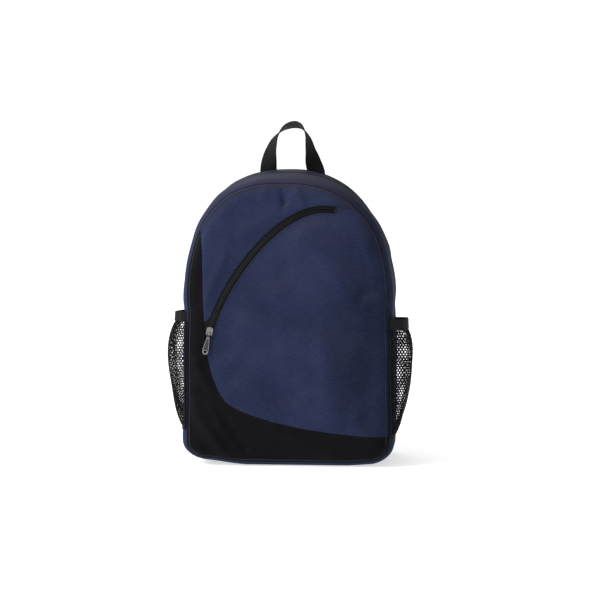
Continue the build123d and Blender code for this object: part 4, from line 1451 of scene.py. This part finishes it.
def face_grid(inset, columns, rows):
    """Points (x, z) between the outline, moved in by inset, and the spine x = 0: the right half
    as columns along the outline and rows towards the spine, then the left half mirrored."""
    x, z, nx, nz = outline(np.linspace(0, ROUND / 2, columns))
    rim = np.stack([x - nx * inset, z - nz * inset], 1)
    spine_z = SPINE_LOW + (SPINE_HIGH - SPINE_LOW) * smooth_step(rim[:, 1] / (ARCH_Z + ARCH_R))
    spine = np.stack([0 * x, spine_z], 1)
    v = np.linspace(0, 1, rows)[:, None] ** 1.5
    right = rim[:, None] * (1 - v) + spine[:, None] * v
    return right, right * np.array([-1, 1])


def face_piece(name, inset, columns, rows, depth, outward):
    """Mesh of a whole face with depth(points) as its y, welded at the spine and the poles."""
    halves = face_grid(inset, columns, rows)
    points = [np.stack([half[..., 0], depth(half), half[..., 1]], -1).reshape(-1, 3)
              for half in halves]
    faces = [turned(flat, grid_faces(columns, rows), [0, outward, 0]) for flat in points]
    faces = np.concatenate([faces[0], faces[1] + len(points[0])])
    return weld(make_mesh(name, np.concatenate(points), faces,
                          np.concatenate(halves).reshape(-1, 2)))


print("a face's grid is", face_grid(0.0, 420, 60)[0].shape)

# %% [markdown]
# The back's depth starts as a quarter ellipse at the rim. Pads swell from there, and the seams
# pull them down again: one line all round, three across, and the channel down the spine.

# %% The back's depth
QUILT = [0.118, 0.196, 0.274]
BACK_FACE = BACK_Y - 2.5 * MM


def back_depth(points):
    """y of the back: the rolled face, plus the pads' swell where no line or channel is, less the
    seams' dip, plus fine wrinkles."""
    x, z = points[..., 0], points[..., 1]
    inset = edge_distance(x, z)
    roll = np.clip(1 - inset / EDGE, 0, 1)
    y = BACK_FACE - (BACK_FACE - REAR_SEAM_Y) * (1 - np.sqrt(np.clip(1 - roll ** 2, 0, 1)))
    line = np.exp(-((inset - 21 * MM) / (2.4 * MM)) ** 2)
    inner = smooth_step((inset - 20 * MM) / (10 * MM))
    for level in QUILT:
        line = np.maximum(line, inner * np.exp(-((z - level - x ** 2) / (2.6 * MM)) ** 2))
    channel = np.exp(-(x / (9 * MM)) ** 2) * inner * smooth_step((0.345 - z) / 0.02)
    puff = 2.4 * MM * smooth_step(inset / (40 * MM))
    wrinkle = 0.35 * MM * np.sin(x * 150 + z * 60) * np.sin(z * 210 - x * 40) * inner
    return y + puff * (1 - line) * (1 - 0.9 * channel) - 1.6 * MM * line * inner + wrinkle \
        - 0.7 * MM * np.exp(-(inset / (1.6 * MM)) ** 2)


print("the back's middle is at", round(1000 * back_depth(np.array([[0.05, 0.2]]))[0], 1), "mm")

# %% [markdown]
# Spacer net is knitted from two faces with springy yarns between them, so it shows staggered
# round holes. At 1.6 mm they are too many to model: the product of two sines gives their walls,
# and the same value makes both the colour and the relief.


# %% Spacer net and the back's cover
def spacer(name):
    """Knitted spacer net: staggered round holes in a springy black face."""
    look = Look(name, Sheen_Weight=0.03, Sheen_Roughness=0.5, Specular_IOR_Level=0.15)
    u, v, _ = look.split(look.cloth_uv())
    across = (u * (np.pi / (1.6 * MM))).sine()
    along = (v * (np.pi / (1.6 * MM))).sine()
    wall = (abs(across * along)).power(0.5)
    fuzz = look.noise(look.cloth_uv(), 900.0, 3.0)
    look.feed("Base Color", look.mix(wall * 0.75 + fuzz * 0.35, (0.0035, 0.0035, 0.004),
                                     (0.030, 0.030, 0.033)))
    look.feed("Roughness", 0.7 + fuzz * 0.15)
    look.bump(wall, 0.5 * MM)
    return look.material


SPACER = spacer("spacer_net")
back = piece(face_piece("back_panel_cover", 0.0, 420, 60, back_depth, 1.0), SPACER, "bag",
             ["back_panel"], CLOTH, LINING)
tell("back panel")

# %% [markdown]
# The seam between the back and the gusset is piped: a cord in folded tape, sewn between the two
# cloths. Its profile is a small circle carried round the outline, and it never sinks below the
# floor.

# %% Rear seam's piping
x, z, nx, nz = outline(np.linspace(0, ROUND, 1400))
piping = np.stack([x - nx * 0.6 * MM, REAR_SEAM_Y + 0.2 * MM + 0 * x, z - nz * 0.6 * MM], 1)
piping[:, 2] = np.maximum(piping[:, 2], 1.3 * MM)
piece(carry("rear_seam_piping", piping, np.stack([nx, 0 * nx, nz], 1),
            flat_profile(2.4 * MM, 2.4 * MM, 10, 1.0)), TAPE, "bag")
tell("piping")

# %% [markdown]
# ## Inside
# The pocket's lining hangs behind the front as a shallow tray. It is one sheet, sewn in all
# round. The back's own lining is flat, behind the foam. Both are
# whole faces, each with its own depth.

# %% Linings
lining_low, lining_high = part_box("front_pocket_lining")


def tray_depth(points):
    """y of the pocket's lining: flat at the tray's back and curving forwards to its sewn rim."""
    inset = edge_distance(points[..., 0], points[..., 1])
    rise = 1 - smooth_step((inset - 9.5 * MM) / (7 * MM))
    return lining_high.y - rise * (lining_high.y - lining_low.y - 1.5 * MM)


def lining_depth(points):
    """y of the flat lining behind the foam."""
    return 42.2 * MM + 0 * points[..., 0]


piece(face_piece("front_pocket_lining_cloth", 9.5 * MM, 300, 30, tray_depth, 1.0), LINING,
      "inner fold", ["front_pocket_lining", "front_pocket_lining_base"], 0.6 * MM)
piece(face_piece("back_lining_cloth", 3.4 * MM, 300, 24, lining_depth, -1.0), LINING, "bag",
      ["back_lining"], 0.4 * MM)
tell("linings")

# %% [markdown]
# Binding tape covers the raw edges inside both seams. It is a strip round the outline like the
# gussets, just inside them and without their ripple.

# %% Bindings inside
BINDING_IN = np.full(5, 2.6 * MM)
strip("rear_binding_tape", 0, ROUND, 500, BINDING_IN,
      np.linspace(REAR_SEAM_Y - 9 * MM, REAR_SEAM_Y - 0.5 * MM, 5), LINING, "bag",
      ["rear_seam_binding"], 0.0)
strip("front_binding_tape", JOIN_RIGHT, JOIN_LEFT, 420, BINDING_IN,
      np.linspace(FRONT_Y + EDGE + 1 * MM, FRONT_Y + EDGE + 10 * MM, 5), LINING, "fold",
      ["front_seam_binding"], 0.0)
tell("bindings")

# %% [markdown]
# The back's pad is closed-cell foam, cut a little smaller than the panel. It follows the cover
# from close underneath, and its skin is pitted by a fine noise.


# %% Foam
def foam(name):
    """Closed-cell foam with a pitted skin."""
    look = Look(name, Specular_IOR_Level=0.3)
    cells = look.noise(look.place(), 900.0, 3.0, 0.7)
    look.feed("Base Color", look.mix(cells, (0.05, 0.05, 0.055), (0.12, 0.12, 0.13)))
    look.feed("Roughness", 0.75 + cells * 0.15)
    look.bump(cells, 0.2 * MM)
    return look.material


def foam_depth(points):
    """y of the foam's face, close under the cover."""
    return back_depth(points) - CLOTH - 0.3 * MM


piece(face_piece("back_foam_pad", 17 * MM, 300, 40, foam_depth, 1.0), foam("foam"), "bag",
      ["back_foam"], 3 * MM)
tell("foam")

# %% [markdown]
# ## Shoulder straps
# Each strap is foam between woven cloth and spacer net, bound round its edge. Its middle line
# arcs away from the back, and its section is a flat superellipse that narrows to the tab where
# the lower webbing starts. Lengths run down the strap, heights away from the back.

# %% Strap places
SPLAY = np.radians(13.0)
STRAP_TOP = np.array([42.0, 0, 376.0]) * MM
STRAP_LONG = 236 * MM
ROOT, FULL, PAD = 4 * MM, 46 * MM, 10 * MM
WEB = 24.5 * MM
HANDS = (("left", -1), ("right", 1))


def strap_side(sign):
    """The direction across a strap."""
    return np.array([np.cos(SPLAY), 0, sign * np.sin(SPLAY)])


def strap_point(sign, s, across, height):
    """A place on a strap: s down it, across it, and height out from the back."""
    s, across, height = np.broadcast_arrays(s, across, height)
    down = np.array([sign * np.sin(SPLAY), 0, -np.cos(SPLAY)])
    top = np.array([sign * STRAP_TOP[0], BACK_Y, STRAP_TOP[2]])
    return top + s[..., None] * down + across[..., None] * strap_side(sign) \
        + height[..., None] * np.array([0, 1.0, 0])


def arc_height(s):
    """Height of the pad's middle: the circle through both ends and the crown."""
    half, rise = STRAP_LONG / 2, FULL - PAD - ROOT
    radius = (half ** 2 + rise ** 2) / (2 * rise)
    middle = np.clip(s, 0, STRAP_LONG) - half
    return ROOT + PAD / 2 + rise - radius + np.sqrt(radius ** 2 - middle ** 2)


def strap_width(s):
    """Half width of the pad down its length: full, then a rounded taper to the tab."""
    t = s / STRAP_LONG
    taper = smooth_step((t - 0.80) / 0.20)
    return 31 * MM - 15 * MM * taper - 2.0 * MM * np.sin(np.pi * np.clip(t / 0.8, 0, 1)) ** 2


def pad_mesh(name, sign, swell):
    """Closed strap pad: rings of a superellipse along the arc, closed at both ends."""
    s = np.linspace(0, STRAP_LONG, 150)
    angle = np.linspace(0, 2 * np.pi, 56, endpoint=False)
    close = blunt(150, 0.012)[:, None]
    across = strap_width(s)[:, None] * squared(np.cos(angle), 0.55) * close
    thick = (PAD / 2 - swell) * squared(np.sin(angle), 0.62) * close
    thin = 1 - 0.45 * smooth_step((s[:, None] / STRAP_LONG - 0.84) / 0.16)
    slope = np.gradient(arc_height(s), s)[:, None]
    lean = thick * thin / np.sqrt(1 + slope ** 2)
    points = strap_point(sign, s[:, None] - lean * slope, across,
                         arc_height(s)[:, None] + lean)
    centre = strap_point(sign, s, 0 * s, arc_height(s))[:, None]
    return weld(sheet(name, points, pair(across, s[:, None]), points - centre,
                      close_columns=True))


print("a strap's pad is", round(2000 * strap_width(0.0)), "mm wide at its top")

# %% [markdown]
# One finish covers both faces of a strap. Where the surface looks away from the bag it is the
# woven cloth, and where it looks at the bag it is spacer net.


# %% Strap finish
def strap_finish():
    """Weave on the outside and the spacer's holes towards the back, from the face's direction."""
    look = Look("strap_cover", Sheen_Weight=0.02, Sheen_Roughness=0.5, Specular_IOR_Level=0.14)
    place = look.place()
    x, _, z = look.split(place)
    _, away, _ = look.split(look.facing())
    outside = away.over(-0.05)
    holes = abs((x * (np.pi / (1.7 * MM))).sine() * (z * (np.pi / (1.7 * MM))).sine())
    height = weave(x, z, 0.7 * MM) * outside + holes * (1 - outside)
    fuzz = look.noise(place, 800.0, 3.0)
    look.feed("Base Color", look.mix(height * 0.6 + fuzz * 0.4, (0.003, 0.003, 0.0035),
                                     (0.019, 0.019, 0.021)))
    look.feed("Roughness", 0.62 + fuzz * 0.18)
    look.bump(height, 0.16 * MM)
    return look.material


STRAP_COVER = strap_finish()
print("strap finish:", STRAP_COVER.name)

# %% [markdown] A pad swells evenly under its cover, with small unevenness where the cloth
# gives, so the pads are blown up as cloth with a little pressure.


# %% Strap pads
def puffed(mesh, most):
    """Blows a closed pad up as cloth: remesh to 5 mm cells, 20 steps of Cloth with pressure and
    no gravity, no point further than most from where it started."""
    obj = put("pad_work", mesh)
    remesh = obj.modifiers.new("cells", "REMESH")
    remesh.mode, remesh.voxel_size = "VOXEL", 5 * MM
    graph = bpy.context.evaluated_depsgraph_get()
    start = bpy.data.meshes.new_from_object(obj.evaluated_get(graph))
    obj.modifiers.clear()
    obj.data = start
    cloth = obj.modifiers.new("cloth", "CLOTH")
    cloth.settings.use_pressure = True
    cloth.settings.uniform_pressure_force = 4.0
    cloth.settings.effector_weights.gravity = 0.0
    for step in range(1, 21):
        bpy.context.scene.frame_set(step)
    graph = bpy.context.evaluated_depsgraph_get()
    blown = bpy.data.meshes.new_from_object(obj.evaluated_get(graph))
    before = points_of(start)
    step = points_of(blown) - before
    far = np.linalg.norm(step, axis=1, keepdims=True)
    move_points(blown, before + step * np.minimum(1, most / np.maximum(far, 1e-9)))
    blown.polygons.foreach_set("use_smooth", np.ones(len(blown.polygons), bool))
    bpy.context.scene.frame_set(1)
    name = mesh.name
    for used in (obj.data, mesh):
        bpy.data.meshes.remove(used)
    blown.name = name
    return blown


for hand, sign in HANDS:
    pad = pad_mesh(f"shoulder_strap_{hand}_pad", sign, 0.6 * MM)
    pad = puffed(pad, 3 * MM)
    strap = piece(pad, STRAP_COVER, "bag", [f"shoulder_strap_{hand}"], smooth=1)
tell("strap pads")

# %% [markdown]
# Binding tape wraps each long edge of a strap, with a row of stitches just inside it. A webbing
# is sewn down the middle of the face, held by three crossed boxes of stitches that take the
# load.

# %% Bindings, webbing and boxes of the straps
LONG_STEPS = 200


def by_corners(corners, steps):
    """Evenly spaced points along straight lines from corner to corner (mm)."""
    knots = np.arange(len(corners))
    fine = np.linspace(0, knots[-1], steps * knots[-1] + 1)
    return [np.interp(fine, knots, values) * MM for values in np.array(corners, float).T]


for hand, sign in HANDS:
    s = np.linspace(3 * MM, STRAP_LONG - 3 * MM, LONG_STEPS)
    for edge in (-1, 1):
        label = f"{hand}_{'in' if edge * sign < 0 else 'out'}"
        line = strap_point(sign, s, edge * (strap_width(s) - 1.2 * MM), arc_height(s))
        piece(carry(f"strap_binding_{label}", line, np.broadcast_to([0.0, 1.0, 0.0], line.shape),
                    flat_profile(8.6 * MM, 4.4 * MM, 20, 0.5)), TAPE, "bag")
        row = strap_point(sign, s, edge * (strap_width(s) - 6.2 * MM),
                          arc_height(s) + 4.6 * MM)
        stitches(f"strap_stitches_{label}", row, (0, 1, 0), "bag")

    s = np.linspace(14 * MM, STRAP_LONG + 2 * MM, 160)
    dip = 2.2 * MM * smooth_step((s - STRAP_LONG + 30 * MM) / (30 * MM))
    line = strap_point(sign, s, 0 * s, arc_height(s) + 5.3 * MM - dip)
    side = np.broadcast_to(strap_side(sign), line.shape)
    piece(carry(f"strap_top_webbing_{hand}", line, side, flat_profile(WEB, 1.5 * MM, 28, 0.35)),
          STRAP_WEB, "bag")
    for start in (16, 92, 168):
        down, aside = by_corners([(start, -9), (start + 24, -9), (start + 24, 9), (start, 9),
                                  (start, -9), (start + 24, 9), (start + 24, -9), (start, 9)], 20)
        row = strap_point(sign, down, aside, arc_height(down) + 6.4 * MM)
        stitches(f"strap_box_{start}_{hand}", row, (0, 1, 0), "bag", pitch=2.6 * MM,
                 length=1.9 * MM)
tell("strap edges, webbing and boxes")

# %% [markdown]
# The lower webbing runs up from its anchor, through the ladder lock from behind, over the middle
# bar and back down, and its tail hangs free with a folded hem. A short loop of the same webbing
# holds the lock to the strap. Both routes are smooth curves through the slots, given as
# distances down the strap and heights out from the back.

# %% Lower webbing and lock loops
WEB_ROUTE = [(332, 2.4), (318, 3.0), (300, 3.6), (280, 3.6), (262, 3.4), (254.5, 4.0),
             (251.2, 7.0), (251.6, 10.4), (256.0, 12.0), (260.4, 10.6), (261.6, 7.6),
             (264.5, 5.2), (271, 5.3), (288, 6.0), (306, 7.4), (324, 7.6), (341, 6.2),
             (352, 5.8)]
LOOP_ROUTE = [(222, 9.5), (234, 8.4), (243, 10.2), (246.5, 11.4), (249.2, 10.0), (249.4, 7.0),
              (247, 5.2), (242, 5.0), (232, 6.4)]


def strap_run(name, sign, route, count, wide, thick, stands_for=()):
    """Webbing along a smooth route of (down, out) places on a strap."""
    down, out = smooth_path(route, count).T
    line = strap_point(sign, down, 0 * down, out)
    side = np.broadcast_to(strap_side(sign), line.shape)
    return piece(carry(name, line, side, flat_profile(wide, thick, 28, 0.35)), STRAP_WEB, "bag",
                 stands_for)


for hand, sign in HANDS:
    strap_run(f"strap_webbing_{hand}_run", sign, WEB_ROUTE, 420, WEB - 0.6 * MM, 1.3 * MM,
              [f"strap_webbing_{hand}"])
    strap_run(f"lock_loop_{hand}", sign, LOOP_ROUTE, 160, WEB - 1.0 * MM, 1.2 * MM)
    hem = strap_point(sign, np.linspace(347.5, 350, 12) * MM, 0.0, 6.0 * MM)
    piece(carry(f"webbing_hem_{hand}", hem, np.broadcast_to(strap_side(sign), hem.shape),
                flat_profile(WEB, 3.0 * MM, 24, 0.4), blunt(12, 0.2)), STRAP_WEB, "bag")
dress(BUCKLE, "ladder_lock_left", "ladder_lock_right")
tell("lower webbing")

# %% [markdown]
# The anchor is a folded tab of the black cloth, sewn into the bag's lower side, that widens
# towards the seam. A rectangle of stitches holds the webbing in it.

# %% Anchors
for hand, sign in HANDS:
    s = np.linspace(298, 344, 60) * MM
    wide = 14.6 * MM + 9 * MM * smooth_step((s - 312 * MM) / (32 * MM))
    angle = np.linspace(0, 2 * np.pi, 36, endpoint=False)
    close = blunt(60, 0.02)[:, None]
    across = wide[:, None] * squared(np.cos(angle), 0.3) * close
    high = 2.0 * MM + 1.9 * MM * squared(np.sin(angle), 0.5) * close
    points = strap_point(sign, s[:, None], across, high)
    tab = sheet(f"strap_anchor_{hand}_tab", points, pair(across, s[:, None]),
                points - points.mean(1, keepdims=True), close_columns=True)
    piece(weld(tab), BLACK, "bag", [f"strap_anchor_{hand}"])
    down, aside = by_corners([(303, -11), (303, 11), (337, 16), (337, -16), (303, -11)], 30)
    stitches(f"anchor_stitches_{hand}", strap_point(sign, down, aside, 4.1 * MM), (0, 1, 0),
             "bag", pitch=2.8 * MM, length=2.1 * MM)
tell("anchors")

# %% [markdown]
# A yoke of folded cloth covers the straps' upper ends and takes the pull, with two rows of
# stitching round it. It is a dome of eight squared-off rings over the yoke's box, lifted a
# little where the straps run under it.

# %% Yoke
yoke_low, yoke_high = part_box("strap_yoke")
half_x, half_z = (yoke_high.x - yoke_low.x) / 2, (yoke_high.z - yoke_low.z) / 2
mid_z = (yoke_low.z + yoke_high.z) / 2
angle = np.linspace(0, 2 * np.pi, 160, endpoint=False)
rim = np.stack([half_x * squared(np.cos(angle), 0.28), half_z * squared(np.sin(angle), 0.42)], 1)
shrink = np.array([1, 1, 0.985, 0.94, 0.8, 0.55, 0.3, 0.0])[:, None]
rise = np.array([0, 1.8, 2.9, 3.4, 3.6, 3.8, 3.9, 4.0])[:, None] * MM


def over_straps(x):
    """How far the straps' ends lift the yoke: a squared cosine across it."""
    return 1.2 * MM * np.cos(x / half_x * np.pi * 1.5) ** 2


dome_x = rim[:, 0] * shrink
dome_y = BACK_Y - 1 * MM + rise + over_straps(dome_x) * smooth_step(rise / (3.4 * MM))
points = np.stack([dome_x, dome_y, mid_z + rim[:, 1] * shrink], -1)
yoke = weld(sheet("strap_yoke_cover", points, points[..., ::2],
                  points - np.array([0, BACK_Y - 4 * MM, mid_z]), close_columns=True))
piece(yoke, BLACK, "bag", ["strap_yoke"])
closed_rim = np.concatenate([rim, rim[:1]])
for inset, label in ((0.965, "outer"), (0.91, "inner")):
    x, z = closed_rim[:, 0] * inset, mid_z + closed_rim[:, 1] * (2 * inset - 1)
    row = np.stack([x, BACK_Y + 2.6 * MM + over_straps(x), z], 1)
    stitches(f"yoke_stitches_{label}", row, (0, 1, 0), "bag", pitch=2.8 * MM, length=2.1 * MM)
tell("yoke")

# %% [markdown]
